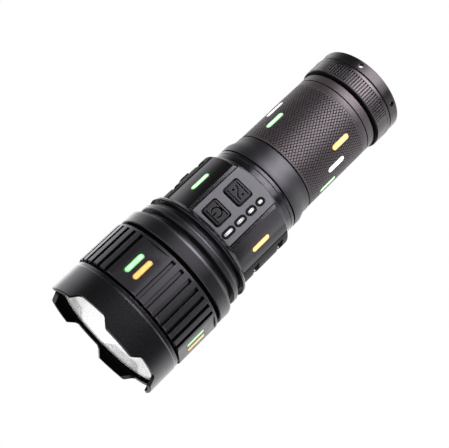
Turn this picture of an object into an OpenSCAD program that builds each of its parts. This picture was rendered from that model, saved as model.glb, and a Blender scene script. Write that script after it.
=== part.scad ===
// Rechargeable LED flashlight with a knurled battery tube, standing on its tail.
// The axis is +Z, the origin is the centre of the tail's end face, and the control panel faces -Y.

/* [Battery] */
// Diameter of the rechargeable cell over its wrap
cell_d = 26.2; // [25:0.1:27]
// Length of the cell over its positive cap
cell_len = 65.5; // [60:0.5:72]
// Height of the tail spring under the cell
tail_spring_len = 6.3; // [5.6:0.1:8]
// Height of the driver's spring above the cell
driver_spring_len = 6.3; // [5.6:0.1:8]
// Diameter of the spring wire
wire_d = 0.9; // [0.6:0.05:1]

/* [Tail] */
// Step from the tail cap's surface in to the lanyard ring's
ring_step = 0.2; // [0.1:0.05:0.6]
// Length of the lanyard ring along the axis
ring_len = 4.7; // [4.4:0.1:8]
// Wall of the lanyard ring's skirt
ring_wall = 1.7; // [1.2:0.1:2.2]
// Diameter of a lanyard hole
lanyard_hole_d = 2.1; // [1.5:0.1:2.6]
// Height of the lanyard holes above the tail's end
lanyard_hole_z = 2.35; // [2:0.05:2.8]
// Number of lanyard holes
lanyard_holes = 6; // [2:1:8]
// Angle of the first lanyard hole from the panel's normal
lanyard_angle = 44.2; // [0:0.1:60]
// Wall of the tail cap round its thread
cap_wall = 2.6; // [2:0.1:4]
// Length of the tail cap along the axis
cap_len = 7.5; // [7:0.05:12]
// Thickness of the tail cap's end wall
cap_end_wall = 2.3; // [1.2:0.05:2.8]
// Gap between the tail cap's front and the tube's shoulder
cap_gap = 1.3; // [0.4:0.05:1.8]
// Number of patches of straight grip ribs round the tail cap
rib_patches = 3; // [2:1:3]
// Number of ribs in a patch
patch_ribs = 27; // [15:1:28]
// Angle from one rib to the next
rib_pitch = 3.5; // [3:0.1:4]
// Angle of the first patch's middle from the panel's normal
patch_angle = 1.3; // [0:0.1:60]
// Depth of the grip ribs
rib_depth = 0.6; // [0.3:0.05:0.7]

/* [Tube] */
// Wall of the knurled tube round the cell
tube_wall = 4.7; // [4.2:0.1:5.4]
// Wall of the tube under its rear thread
rear_thread_wall = 3; // [2.4:0.1:3.4]
// Wall of the tube under its front thread
front_thread_wall = 2; // [1.8:0.1:2.6]
// Length of the smooth band behind the knurling
rear_band_len = 5.9; // [4:0.05:8]
// Length of the smooth band in front of the knurling
front_band_len = 3; // [2:0.1:5]
// Length of the taper from the front band up to the neck
taper_len = 3.2; // [2:0.1:5]
// Rise from the knurled tube to the neck
neck_rise = 1.3; // [0.8:0.1:2]
// Length of the neck on the tube
tube_neck_len = 3.25; // [2.5:0.05:6]
// Width of the turned groove in front of the knurling
knurl_groove_w = 0.55; // [0.3:0.05:0.8]

/* [Switch section] */
// Length of the neck on the switch housing
housing_neck_len = 3.95; // [3.5:0.05:6]
// Length of the eight-sided part
housing_len = 26; // [25.5:0.1:32]
// Wall of the housing at its two side faces
side_wall = 5.9; // [5.6:0.1:6.6]
// Angle of the sloping faces from the panel's normal
slope_angle = 49.4; // [47:0.1:52]
// How much further from the axis the sloping faces lie than the panel
slope_rise = 1.43; // [1.1:0.01:1.9]
// How far the sloping faces bulge at their middle
slope_bulge = 0.65; // [0.2:0.05:0.8]
// Thickness of the rounded side covers at their middle
side_cover_t = 2.5; // [2.1:0.1:3.1]
// Step from the head's surface in to the front flange and the cooling ring
flange_step = 1.9; // [1.4:0.1:3]
// Length of the cone from the side covers up to the front flange
flange_cone_len = 1.7; // [0.5:0.1:2.2]
// Thickness of the front flange's rim
flange_len = 1.1; // [0.8:0.1:3]

/* [Controls] */
// Width of the control panel's inlaid plate
panel_w = 18.4; // [18:0.1:20]
// Gap along each long edge of the inlaid plate
panel_gap = 0.35; // [0.1:0.05:0.4]
// Thickness of the inlaid plate
panel_t = 1.4; // [1.1:0.1:1.8]
// Width of a button's opening, across the axis
button_w = 8.9; // [7.5:0.1:9.1]
// Length of a button's opening, along the axis
button_h = 7.9; // [7:0.1:8.4]
// Corner radius of a button's opening
button_corner = 1.1; // [0.6:0.1:2]
// Gap round a button in its opening
button_gap = 0.4; // [0.15:0.05:0.5]
// Height of a button above the panel
button_proud = 0.7; // [0.4:0.1:1.2]
// Travel of a button
button_travel = 0.6; // [0.3:0.1:0.8]
// Offset of the buttons from the panel's centre line
button_x = 2.6; // [2.3:0.1:2.8]
// Distance between the two buttons
button_pitch = 11.2; // [9.9:0.1:12]
// Margin of the panel in front of the power button
button_margin = 1.65; // [1.2:0.05:2.4]
// Width of an indicator window
window_w = 2.3; // [1.6:0.1:2.6]
// Offset of the indicator windows from the panel's centre line
window_x = -5.45; // [-6:0.05:-5]
// Number of indicator windows
window_count = 4; // [2:1:4]
// Length of the front window
window_len = 5.4; // [4:0.1:5.6]
// How much shorter each window is than the one in front of it
window_len_step = 0.7; // [0:0.1:0.9]
// Gap between two windows
window_gap = 1.25; // [0.8:0.05:1.5]
// Margin of the panel in front of the first window
window_margin = 0.95; // [0.6:0.05:2]

/* [Head] */
// Diameter of the fluted sleeve
head_d = 51.6; // [51:0.1:54]
// Length of the fluted sleeve
sleeve_len = 19.2; // [17:0.1:25]
// Wall of the fluted sleeve
sleeve_wall = 2; // [1.8:0.05:2.3]
// Number of flutes between two pads
flute_count = 7; // [3:1:7]
// Width of a flute
flute_w = 1.75; // [1.2:0.05:2]
// Depth of a flute
flute_depth = 1.2; // [0.6:0.1:1.4]
// Depth of the flat pads below the sleeve's surface, at their middle
pad_drop = 0.6; // [0.3:0.05:0.7]
// Step from the sleeve's surface in to the collar
collar_step = 0.35; // [0.1:0.05:0.8]
// Length of the collar
collar_len = 5.9; // [4:0.1:9]
// Thickness of the cooling ring
fin_len = 2.7; // [1.8:0.1:4]
// Width of the groove behind the cooling ring
fin_gap_rear = 2.5; // [1.5:0.1:4]
// Width of the groove in front of the cooling ring
fin_gap_front = 3; // [1.5:0.1:4]
// Depth of the cooling grooves
fin_depth = 2.1; // [1.6:0.1:2.4]
// Width of the groove between the collar and the sleeve
collar_gap = 1.8; // [1:0.1:3]
// Width of the groove between the sleeve and the bezel
bezel_gap = 1; // [0.6:0.1:2]

/* [Bezel] */
// Step from the sleeve's surface in to the bezel
bezel_step = 0.15; // [0:0.05:0.5]
// Length of the bezel from its rear face to the valleys
bezel_len = 10.95; // [10.8:0.05:14]
// Height of the teeth
tooth_h = 3; // [1.5:0.1:4]
// Number of teeth
teeth = 5; // [3:1:6]
// Angle of a valley's floor
valley_angle = 27; // [18:1:34]
// Angle that a tooth's flank takes
flank_angle = 7.5; // [3:0.5:9]
// Wall of the teeth
tooth_wall = 1.6; // [1.4:0.05:2]

/* [Optics] */
// Wall of the head's barrel round the reflector
barrel_wall = 1.2; // [1:0.05:1.4]
// Thickness of the lens
lens_t = 1.6; // [1.2:0.1:2]
// Thickness of the seal behind the lens
seal_t = 0.6; // [0.4:0.05:0.8]
// Thickness of the reflector's rim
rim_t = 1; // [0.8:0.1:1.2]
// Depth of the reflector's bowl
reflector_depth = 29.2; // [28:0.1:30]
// Radius of the reflector's hole for the emitter
emitter_hole_r = 6; // [5.9:0.1:6.5]
// Wall of the reflector's bowl
bowl_wall = 0.7; // [0.5:0.05:0.7]
// Diameter of the LED board
led_board_d = 21.5; // [21:0.1:26]
// Thickness of the LED board
led_board_t = 1.6; // [1:0.1:2]
// Side of the LED package
emitter_w = 7; // [6.4:0.1:7.2]

/* [Luminous bars] */
// Length of a bar
bar_len = 9.2; // [7:0.1:10]
// Width of a bar
bar_w = 2.7; // [2:0.1:3]
// Depth of a bar's slot
bar_depth = 1; // [0.7:0.05:1]
// Angle of the first bar on the tube from the panel's normal
bar_first_angle = 33.3; // [0:0.1:60]
// Angle from one bar of a flight to the next
bar_step_angle = 20.3; // [18:0.1:24]
// Place of the first bar's middle in front of the knurling's rear end
bar_first_z = 10.15; // [8:0.05:12]
// Distance along the axis from one bar of a flight to the next
bar_step_z = 5.7; // [4:0.1:6]
// Offset of the two bars on a head pad from the pad's middle
pad_bar_x = 2; // [1.6:0.1:2.4]
// Place of the bars on a head pad in front of the sleeve's middle
pad_bar_z = 1.1; // [0:0.1:2]
// Place of the housing's bars in front of the panel's middle
slope_bar_z = 1.6; // [0:0.1:3]
// Shift of the housing's bars along their faces, towards -X
slope_bar_shift = 0.6; // [0:0.1:1]

/* [Fits] */
// Running clearance between pieces that turn or slide on each other
slip = 0.05; // [0.03:0.01:0.08]
// Gap at a turned joint round the body
joint_gap = 0.5; // [0.3:0.05:0.7]
// Gap at a visible joint line
line_gap = 0.25; // [0.15:0.05:0.4]
// Gap between a spring and the cell
contact_gap = 0.3; // [0.2:0.05:0.5]
// Gap between the cell and the tube
cell_gap = 0.5; // [0.3:0.05:0.7]

/* [Hidden] */
$fn = 96;
eps = 0.01;

// Colours
anodised = [0.13, 0.13, 0.14];
dark_rubber = [0.05, 0.05, 0.05];
bare_steel = [0.72, 0.72, 0.74];
board_green = [0.08, 0.3, 0.16];

// Radii that follow from the cell
cell_r = cell_d / 2;
wrap_t = 0.2;
cell_cap_h = 1;
cell_cap_r = 5.5;
bore_r = cell_r + cell_gap;
rear_thread_r = bore_r + rear_thread_wall;
front_thread_r = bore_r + front_thread_wall;
cap_bore_r = rear_thread_r + 2 * slip;
seal_wire_r = 0.5;
seal_groove_w = 1.2;
rear_seal_inset = 0.9;
front_seal_inset = 1.6;

// Radii of the outer pieces
cap_r = cap_bore_r + cap_wall;
ring_r = cap_r - ring_step;
ring_bore_r = ring_r - ring_wall;
tube_r = bore_r + tube_wall;
band_rise = 0.15;
front_band_r = tube_r + band_rise;
neck_r = tube_r + neck_rise;
side_apothem = bore_r + side_wall;
side_cover_r = side_apothem + side_cover_t;
head_r = head_d / 2;
flange_r = head_r - flange_step;
fin_floor_r = flange_r - fin_depth;
collar_r = head_r - collar_step;
bezel_r = head_r - bezel_step;
barrel_r = head_r - sleeve_wall - 2 * slip;
sleeve_bore_r = barrel_r + slip;
sleeve_neck_wall = 0.55;
sleeve_neck_r = sleeve_bore_r + sleeve_neck_wall;
cavity_r = barrel_r - barrel_wall;
lens_r = barrel_r - 2 * slip;
lip_over = 0.3;
lip_r = lens_r - lip_over;
bowl_gap = 0.6;
bowl_r = cavity_r - bowl_gap;
joint_edge = 0.15;
rear_round_r = 0.9;

// Stub on the tail cap that carries the lanyard ring
ring_web_w = 2.4;
ring_web_t = 0.8;
stub_r = ring_bore_r - ring_web_w;
stub_end = 0.4;
snap_t = 0.55;
snap_depth = 0.7;
stub_len = joint_gap + ring_web_t + slip + snap_t + 2 * slip + stub_end;

// Stations along the axis, from the tail to the knurling
z_cap = ring_len + joint_gap;
z_cap_front = z_cap + cap_len;
z_tail_board = z_cap + cap_end_wall;
tail_board_t = 1.2;
z_tail_spring = z_tail_board + tail_board_t;
z_cell = z_tail_spring + tail_spring_len + contact_gap;
z_cell_top = z_cell + cell_len;
z_tube_end = z_tail_spring + slip;
z_tube = z_cap_front + cap_gap;
z_knurl = z_tube + rear_band_len;

// The driver sits above the cell, and the housing and the knurling follow from it
driver_board_t = 1.2;
driver_inset = 21.2;
z_driver = z_cell_top + contact_gap + driver_spring_len;
z_driver_top = z_driver + driver_board_t;
z_slope = z_driver - driver_inset;
z_housing = z_slope - housing_neck_len;
z_tube_front = z_housing - joint_gap;
z_taper_top = z_tube_front - tube_neck_len;
z_taper = z_taper_top - taper_len;
z_front_band = z_taper - front_band_len;
z_knurl_top = z_front_band - knurl_groove_w;

// Stations of the switch section and the head
z_flats = z_slope + housing_len;
z_flange = z_flats + flange_cone_len;
z_head = z_flange + flange_len;
z_fin = z_head + fin_gap_rear;
z_fin_front = z_fin + fin_len;
z_collar = z_fin_front + fin_gap_front;
z_collar_front = z_collar + collar_len;
z_sleeve = z_collar_front + collar_gap;
z_sleeve_front = z_sleeve + sleeve_len;
z_bezel = z_sleeve_front + bezel_gap;
z_valley = z_bezel + bezel_len;
z_tip = z_valley + tooth_h;

// The lens stack hangs from the bezel's lip, and the emitter from the reflector
lip_len = 0.85;
z_lens_front = z_valley - lip_len;
z_lens = z_lens_front - lens_t;
z_rim = z_lens - seal_t;
z_barrel_end = z_rim - rim_t;
z_emitter_hole = z_rim - reflector_depth;
bowl_curve = (pow(bowl_r, 2) - pow(emitter_hole_r, 2)) / reflector_depth;
function bowl_z(r) = z_emitter_hole + (r * r - pow(emitter_hole_r, 2)) / bowl_curve;
function bowl_radius(z) = sqrt((z - z_emitter_hole) * bowl_curve + pow(emitter_hole_r, 2));
emitter_base_h = 1;
bowl_base_t = 0.45;
emitter_sink = 1.6;
z_led_top = z_emitter_hole - emitter_sink;
z_led = z_led_top - led_board_t;
spigot_wall = 1.8;
spigot_r = fin_floor_r - spigot_wall;
spigot_len = 5.4;
z_shelf = z_head + spigot_len + 2 * slip;
lead_r = 0.7;
lead_hole_r = lead_r + 0.3;
lead_edge = 1.75;
lead_place = led_board_d / 2 - lead_edge;

// Layers under the control panel, as depths from its face
button_flange_t = 0.5;
button_flange_w = 0.4;
depth_flange = panel_t + slip;
depth_dome = depth_flange + button_flange_t + button_travel + slip;
dome_h = 0.3;
depth_sheet = depth_dome + dome_h;
sheet_t = 0.5;
depth_switch = depth_sheet + sheet_t + slip;
switch_h = 0.75;
depth_board = depth_switch + switch_h;
switch_board_t = 0.8;
led_chip_h = 0.6;
led_gap = 0.6;
depth_floor = depth_board + switch_board_t + slip;
floor_wall = 0.85;
panel_apothem = bore_r + floor_wall + depth_floor;

// Places on the control panel, along the axis from its middle
z_panel = (z_slope + z_flats) / 2;
panel_end_gap = 0.2;
panel_len = housing_len - 2 * panel_end_gap;
panel_ledge = 0.8;
pocket_w = panel_w - 2 * panel_ledge;
power_y = panel_len / 2 - button_margin - button_h / 2;
mode_y = power_y - button_pitch;
function window_size(i) = window_len - i * window_len_step;
function window_y(i) = i == 0 ? panel_len / 2 - window_margin - window_len / 2
    : window_y(i - 1) - (window_size(i - 1) + window_size(i)) / 2 - window_gap;
windows = [for (i = [0:window_count - 1]) [window_y(i), window_size(i)]];
button_x_inner = button_x - button_w / 2 - button_flange_w - line_gap;
button_x_outer = button_x + button_w / 2 + button_flange_w + line_gap;
pad_y_low = mode_y - button_h / 2 - button_flange_w - line_gap;
pad_y_high = power_y + button_h / 2 + button_flange_w + line_gap;
seal_rim = 0.5;
pocket_wall = 1.2;
pocket_margin = 1.25;
pocket_low = pad_y_low - seal_rim - pocket_margin;
pocket_high = pad_y_high + seal_rim + 2 * slip;
pocket_len = pocket_high - pocket_low;
pocket_y = (pocket_high + pocket_low) / 2;
z_socket = z_panel + pocket_low - pocket_wall;

// Eight-sided section
slope_apothem = panel_apothem + slope_rise;
panel_half_w = (slope_apothem - panel_apothem * cos(slope_angle)) / sin(slope_angle);
side_half_w = (slope_apothem - side_apothem * sin(slope_angle)) / cos(slope_angle);
slope_half_w = norm([side_apothem - panel_half_w, panel_apothem - side_half_w]) / 2;
slope_round_r = (pow(slope_half_w, 2) + pow(slope_bulge, 2)) / (2 * slope_bulge);

// Charging socket and its rubber flap on the +X side
port_w = 8.94;
port_h = 3.2;
port_wall = 0.3;
port_floor = 0.9;
port_depth = side_wall - port_floor;
flap_half_y = 6.6;
flap_half_z = 2.9;
flap_roll_r = 0.65;
flap_swing_gap = 0.35;
strap_w = 1.6;
flap_floor = side_apothem + 2 * slip;
flap_roll_x = flap_floor + flap_roll_r;
tab_w = 6;
tab_h = 4.4;
tab_corner = 1;
tab_proud = 0.25;
flap_tab_r = side_cover_r + tab_proud;
plug_len = 0.8;
screw_pitch = 13;
screw_places = [-screw_pitch / 2, screw_pitch / 2];
screw_notch_w = 3;
screw_notch_share = 0.62;
screw_notch = screw_notch_share * side_cover_t;
screw_seat_r = side_cover_r - screw_notch;
screw_head_r = 1.2;
screw_r = 0.8;
screw_sink = 0.3;
screw_bite = 2.4;
screw_proud = 1;

// Luminous bars: angles are measured from the panel's normal towards -X
bar_slot_gap = slip;
pads = 4;
pad_angle = -17;
pad_apothem = head_r - pad_drop;
flute_pitch = 9.2;
tooth_angle = 15.2;
triplets = 3;
amber_step = 0;
white_step = 1;
green_step = 2;
slope_bar_x = (side_half_w * sin(slope_angle) - side_apothem * cos(slope_angle)
    + panel_apothem * sin(slope_angle) - panel_half_w * cos(slope_angle)) / 2;

// Rounded rectangle in the plane
module rounded_rect(w, h, r) {
    square([w - 2 * r, h], center = true);
    square([w, h - 2 * r], center = true);
    for (x = [-1, 1], y = [-1, 1])
        translate([x * (w / 2 - r), y * (h / 2 - r)]) circle(r);
}

// Bar with round ends, its length along y
module stadium(w, len) {
    square([w, len - w], center = true);
    for (y = [-1, 1]) translate([0, y * (len - w) / 2]) circle(w / 2);
}

// Ring of rectangular section
module ring(r_out, r_in, z0, z1) {
    rotate_extrude() translate([r_in, z0]) square([r_out - r_in, z1 - z0]);
}

// Puts a shape on a face: its +Z points out from the axis and its +Y lies along the axis
module on_face(angle, apothem, z) {
    rotate([0, 0, -angle]) translate([0, -apothem, z]) rotate([90, 0, 0]) children();
}

// Layer between two depths under the control panel
module panel_layer(depth0, depth1, x, y) {
    on_face(0, panel_apothem, z_panel) translate([x, y, -depth1])
        linear_extrude(depth1 - depth0) children();
}

// Cone that shapes the rear end of the eight-sided part
module rear_cone() {
    translate([0, 0, z_slope]) cylinder(h = housing_len, r1 = neck_r, r2 = neck_r + housing_len);
}

// Cylinder whose near side is a sloping face of the switch housing
module slope_round(angle, sx) {
    rotate([0, 0, -angle])
        translate([sx * slope_bar_x, slope_round_r - slope_apothem - slope_bulge, z_slope])
            cylinder(r = slope_round_r, h = housing_len + eps);
}

// Eight-sided part: flat panel and side faces with sloping faces between them
module eight_sided() {
    intersection() {
        translate([-side_apothem, -panel_apothem, z_slope])
            cube([2 * side_apothem, 2 * panel_apothem, housing_len + eps]);
        slope_round(slope_angle, 1);
        slope_round(-slope_angle, -1);
        slope_round(180 - slope_angle, -1);
        slope_round(180 + slope_angle, 1);
        rear_cone();
    }
}

// Rounded rear edge of a turned piece, from its rear face out to its radius
function rear_round(r, z, size) =
    [for (a = [0:22.5:90]) [r - size + size * sin(a), z + size - size * cos(a)]];

// Conical spring of round wire, from z0 to z1
coil_rings = 8;
coil_sides = 6;
coil_turns = 4;
tail_coil_r = 5.5;
tail_tip_r = 3.5;
driver_coil_r = 4.2;
driver_tip_r = 3;
function coil_at(a, r0, r1, z0, z1, turns) =
    let (s = a / (360 * turns))
    [(r0 + (r1 - r0) * s) * cos(a), (r0 + (r1 - r0) * s) * sin(a), z0 + (z1 - z0) * s];
function coil_gap(path, wire) =
    min([for (j = [0:len(path) - coil_rings - 1]) norm(path[j + coil_rings] - path[j])]) - wire;
module coil(r0, r1, z0, z1, turns, wire) {
    rings = coil_rings * turns;
    path = [for (j = [0:rings])
        coil_at(j * 360 / coil_rings, r0, r1, z0 + wire / 2, z1 - wire / 2, turns)];
    echo(least_gap = coil_gap(path, wire));
    points = [for (j = [0:rings], k = [0:coil_sides - 1])
        let (a = j * 360 / coil_rings, b = k * 360 / coil_sides)
        path[j] + wire / 2 * [cos(b) * cos(a), cos(b) * sin(a), sin(b)]];
    sides = [for (j = [0:rings - 1], k = [0:coil_sides - 1])
        let (p = j * coil_sides + k, q = j * coil_sides + (k + 1) % coil_sides)
        each [[p, q, q + coil_sides], [p, q + coil_sides, p + coil_sides]]];
    first = [for (k = [1:coil_sides - 2]) [0, k + 1, k]];
    end = rings * coil_sides;
    last = [for (k = [1:coil_sides - 2]) [end, end + k, end + k + 1]];
    polyhedron(points, concat(sides, first, last));
}

module lanyard_ring() {
    edge = 0.5;
    color(anodised) difference() {
        rotate_extrude() polygon([
            [ring_bore_r + edge, 0], [ring_r - edge, 0], [ring_r, edge], [ring_r, ring_len - joint_edge],
            [ring_r - joint_edge, ring_len], [stub_r + slip, ring_len],
            [stub_r + slip, ring_len - ring_web_t], [ring_bore_r, ring_len - ring_web_t],
            [ring_bore_r, edge]
        ]);
        for (i = [0:lanyard_holes - 1])
            on_face(lanyard_angle + i * 360 / lanyard_holes, ring_bore_r - 1, lanyard_hole_z)
                cylinder(d = lanyard_hole_d, h = ring_wall + 2);
    }
}

module snap_ring() {
    z0 = ring_len - ring_web_t - slip - snap_t;
    opening = 36;
    color(bare_steel) rotate([0, 0, opening / 2]) rotate_extrude(angle = 360 - opening)
        translate([stub_r - snap_depth + slip, z0]) square([2 * snap_depth, snap_t]);
}

module tail_cap() {
    z_snap = ring_len - ring_web_t - 2 * slip - snap_t;
    rear_land = 1.35;
    front_land = 0.5;
    z_ribs = z_cap + rear_land;
    z_ribs_end = z_cap_front - front_land;
    edge = 0.3;
    top_r = cap_r - slip;
    root_r = cap_r - rib_depth;
    foot = 0.37;
    crest = 0.25;
    rib = [[-foot, root_r], [-crest, top_r], [crest, top_r], [foot, root_r]];
    patch = [for (i = [0:patch_ribs - 1], c = rib) [i + c[0], c[1]]];
    patch_pitch = 360 / rib_patches;
    first_rib = -90 - patch_angle - (patch_ribs - 1) / 2 * rib_pitch;
    land = patch_pitch - (patch_ribs + 1 - 2 * foot) * rib_pitch;
    land_r = cap_bore_r + 1;
    color(anodised) difference() {
        union() {
            rotate_extrude() polygon([
                [0, z_cap - stub_len], [stub_r - edge, z_cap - stub_len], [stub_r, z_cap - stub_len + edge],
                [stub_r, z_cap], [cap_r - joint_edge, z_cap], [cap_r, z_cap + joint_edge],
                [cap_r, z_ribs], [0, z_ribs]
            ]);
            translate([0, 0, z_ribs]) linear_extrude(z_ribs_end - z_ribs) polygon([
                for (p = [0:rib_patches - 1], c = patch)
                    let (a = first_rib + p * patch_pitch + c[0] * rib_pitch) c[1] * [cos(a), sin(a)]
            ]);
            for (p = [0:rib_patches - 1])
                rotate([0, 0, first_rib + p * patch_pitch + (patch_ribs - foot) * rib_pitch])
                    rotate_extrude(angle = land) translate([land_r, z_ribs])
                        square([top_r - land_r, z_ribs_end - z_ribs]);
            rotate_extrude() polygon([
                [0, z_ribs_end], [cap_r, z_ribs_end], [cap_r, z_cap_front - edge],
                [cap_r - edge, z_cap_front], [0, z_cap_front]
            ]);
        }
        translate([0, 0, z_tail_board]) cylinder(r = cap_bore_r, h = cap_len);
        ring(stub_r + 1, stub_r - snap_depth, z_snap, z_snap + snap_t + 2 * slip);
    }
}

module tail_board() {
    color(board_green) translate([0, 0, z_tail_board])
        cylinder(r = cap_bore_r - 4 * slip, h = tail_board_t);
}

module tail_spring() {
    color("goldenrod") coil(tail_coil_r, tail_tip_r, z_tail_spring + eps,
        z_tail_spring + tail_spring_len, coil_turns, wire_d);
}

// O-ring that lies in a groove under a bore
module o_ring(bore, z) {
    rotate_extrude() translate([bore - seal_wire_r - slip / 2, z]) circle(seal_wire_r, $fn = 32);
}

module rear_seal() {
    color(dark_rubber) o_ring(cap_bore_r, z_cap_front - rear_seal_inset);
}

module front_seal() {
    color(dark_rubber) o_ring(front_thread_r + slip, z_tube_front + front_seal_inset);
}

module battery_tube() {
    line_depth = 0.5;
    line_inset = 2.4;
    z_line = z_knurl - line_inset;
    groove_depth = 0.9;
    groove_r = tube_r - groove_depth;
    edge = 0.3;
    z_thread_end = z_socket - line_gap;
    z_rear_seal = z_cap_front - rear_seal_inset;
    z_front_seal = z_tube_front + front_seal_inset;
    color(anodised) difference() {
        rotate_extrude() polygon([
            [bore_r, z_tube_end], [rear_thread_r - edge, z_tube_end], [rear_thread_r, z_tube_end + edge],
            [rear_thread_r, z_tube], [tube_r - edge, z_tube], [tube_r, z_tube + edge],
            [tube_r, z_line - line_depth / 2], [tube_r - line_depth, z_line - line_depth / 2],
            [tube_r - line_depth, z_line + line_depth / 2], [tube_r, z_line + line_depth / 2],
            [tube_r, z_knurl_top], [groove_r, z_knurl_top], [groove_r, z_front_band],
            [front_band_r, z_front_band], [front_band_r, z_taper], [neck_r, z_taper_top],
            [neck_r, z_tube_front - joint_edge], [neck_r - joint_edge, z_tube_front],
            [front_thread_r, z_tube_front],
            [front_thread_r, z_thread_end - edge], [front_thread_r - edge, z_thread_end],
            [bore_r, z_thread_end]
        ]);
        ring(rear_thread_r + 1, cap_bore_r - 2 * seal_wire_r - 2 * slip,
            z_rear_seal - seal_groove_w / 2, z_rear_seal + seal_groove_w / 2);
        ring(front_thread_r + 1, front_thread_r - 2 * seal_wire_r - slip,
            z_front_seal - seal_groove_w / 2, z_front_seal + seal_groove_w / 2);
        for (step = [amber_step, white_step, green_step]) tube_bars(step, bar_slot_gap);
    }
}

module cell_can() {
    color(bare_steel) translate([0, 0, z_cell]) cylinder(r = cell_r - wrap_t, h = cell_len - cell_cap_h);
}

module cell_wrap() {
    color("steelblue") ring(cell_r, cell_r - wrap_t, z_cell + wrap_t, z_cell_top - cell_cap_h);
}

module cell_insulator() {
    insulator_t = 0.3;
    color("white") ring(cell_r - 2 * wrap_t, cell_cap_r + line_gap, z_cell_top - cell_cap_h,
        z_cell_top - cell_cap_h + insulator_t);
}

module cell_cap() {
    color(bare_steel) translate([0, 0, z_cell_top - cell_cap_h]) cylinder(r = cell_cap_r, h = cell_cap_h);
}

module switch_housing() {
    line = 0.35;
    step_inset = 1.35;
    z_step = z_housing + step_inset;
    driver_ledge = 1;
    driver_step_r = bore_r - driver_ledge;
    color(anodised) difference() {
        union() {
            rotate_extrude() polygon([
                [0, z_housing], [neck_r - joint_edge, z_housing], [neck_r, z_housing + joint_edge],
                [neck_r, z_step], [neck_r - line / 2, z_step + line / 2], [neck_r, z_step + line],
                [neck_r, z_slope], [0, z_slope]
            ]);
            eight_sided();
            rotate_extrude() polygon([
                [0, z_flats], [side_cover_r, z_flats], [flange_r - joint_edge, z_flange],
                [flange_r, z_flange + joint_edge], [flange_r, z_head - joint_edge],
                [flange_r - joint_edge, z_head], [spigot_r, z_head], [spigot_r, z_head + spigot_len],
                [0, z_head + spigot_len]
            ]);
        }
        translate([0, 0, z_housing - 1]) cylinder(r = bore_r, h = z_driver_top - z_housing + 1 + slip);
        translate([0, 0, z_driver]) cylinder(r = driver_step_r, h = z_shelf - z_driver);
        translate([0, 0, z_housing - 1])
            cylinder(r = front_thread_r + slip, h = z_socket - z_housing + 1);
        panel_layer(-1, panel_t, 0, 0) square([panel_w + 2 * panel_gap, panel_len + slip], center = true);
        panel_layer(panel_t - eps, depth_floor, 0, pocket_y) square([pocket_w, pocket_len], center = true);
        on_face(-90, side_apothem - port_depth - slip, z_panel) linear_extrude(port_depth + 1)
            rounded_rect(port_w + 2 * slip, port_h + 2 * slip, port_h / 2 - slip);
        for (side = [-90, 90], y = screw_places)
            on_face(side, side_apothem - screw_bite - 2 * slip, z_panel + y)
                cylinder(r = screw_r + slip, h = side_wall);
        slope_bar(1, bar_slot_gap);
        slope_bar(-1, bar_slot_gap);
    }
}

module control_panel() {
    color([0.2, 0.2, 0.21]) intersection() {
        difference() {
            panel_layer(0, panel_t, 0, 0) square([panel_w, panel_len - slip], center = true);
            for (y = [power_y, mode_y]) panel_layer(-1, panel_t + 1, button_x, y)
                rounded_rect(button_w, button_h, button_corner);
            for (w = windows) panel_layer(-1, panel_t + 1, window_x, w[0]) stadium(window_w, w[1]);
        }
        rear_cone();
    }
}

// Push button with a stepped face and a flange under the panel
module button(y) {
    w = button_w - 2 * button_gap;
    h = button_h - 2 * button_gap;
    step = 0.8;
    color([0.16, 0.16, 0.17]) {
        panel_layer(-button_proud / 2, depth_flange + eps, button_x, y)
            rounded_rect(w, h, button_corner - button_gap);
        panel_layer(-button_proud, 0, button_x, y)
            rounded_rect(w - 2 * step, h - 2 * step, button_corner - button_gap);
        panel_layer(depth_flange, depth_flange + button_flange_t, button_x, y)
            square([button_w + 2 * button_flange_w, button_h + 2 * button_flange_w], center = true);
    }
}

module power_button() {
    button(power_y);
}

module mode_button() {
    button(mode_y);
}

module keypad_seal() {
    dome_r = 1.6;
    w = button_x_outer - button_x_inner;
    h = pad_y_high - pad_y_low;
    mid_x = (button_x_outer + button_x_inner) / 2;
    mid_y = (pad_y_high + pad_y_low) / 2;
    color(dark_rubber) {
        panel_layer(panel_t + slip, depth_board - slip, mid_x, mid_y) difference() {
            square([w + 2 * seal_rim, h + 2 * seal_rim], center = true);
            square([w, h], center = true);
        }
        panel_layer(depth_sheet, depth_sheet + sheet_t, mid_x, mid_y)
            square([w + eps, h + eps], center = true);
        for (y = [power_y, mode_y]) panel_layer(depth_dome + slip, depth_sheet + eps, button_x, y)
            circle(dome_r);
    }
}

module tact_switches() {
    switch_w = 3.6;
    color(bare_steel) for (y = [power_y, mode_y])
        panel_layer(depth_switch, depth_board, button_x, y) square(switch_w, center = true);
}

module indicator_leds() {
    chip_w = 0.8;
    chip_len = 1.6;
    color("white") for (w = windows)
        panel_layer(depth_board - led_chip_h, depth_board, window_x, w[0])
            square([chip_w, chip_len], center = true);
}

module charge_windows() {
    color("whitesmoke") for (w = windows)
        panel_layer(0, depth_board - led_chip_h - led_gap, window_x, w[0])
            stadium(window_w - 2 * slip, w[1] - 2 * slip);
}

module switch_board() {
    color(board_green) panel_layer(depth_board, depth_board + switch_board_t, 0, pocket_y)
        square([pocket_w - 2 * line_gap, pocket_len - 2 * line_gap], center = true);
}

// Rail of round section on a side face, chamfered at the rear with the housing
module side_rail(side) {
    intersection() {
        translate([0, 0, z_slope]) cylinder(r = side_cover_r, h = housing_len - slip);
        on_face(side, side_apothem + slip, z_panel) linear_extrude(side_cover_r)
            square([2 * side_half_w, housing_len - 2 * slip], center = true);
        rear_cone();
    }
}

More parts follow.
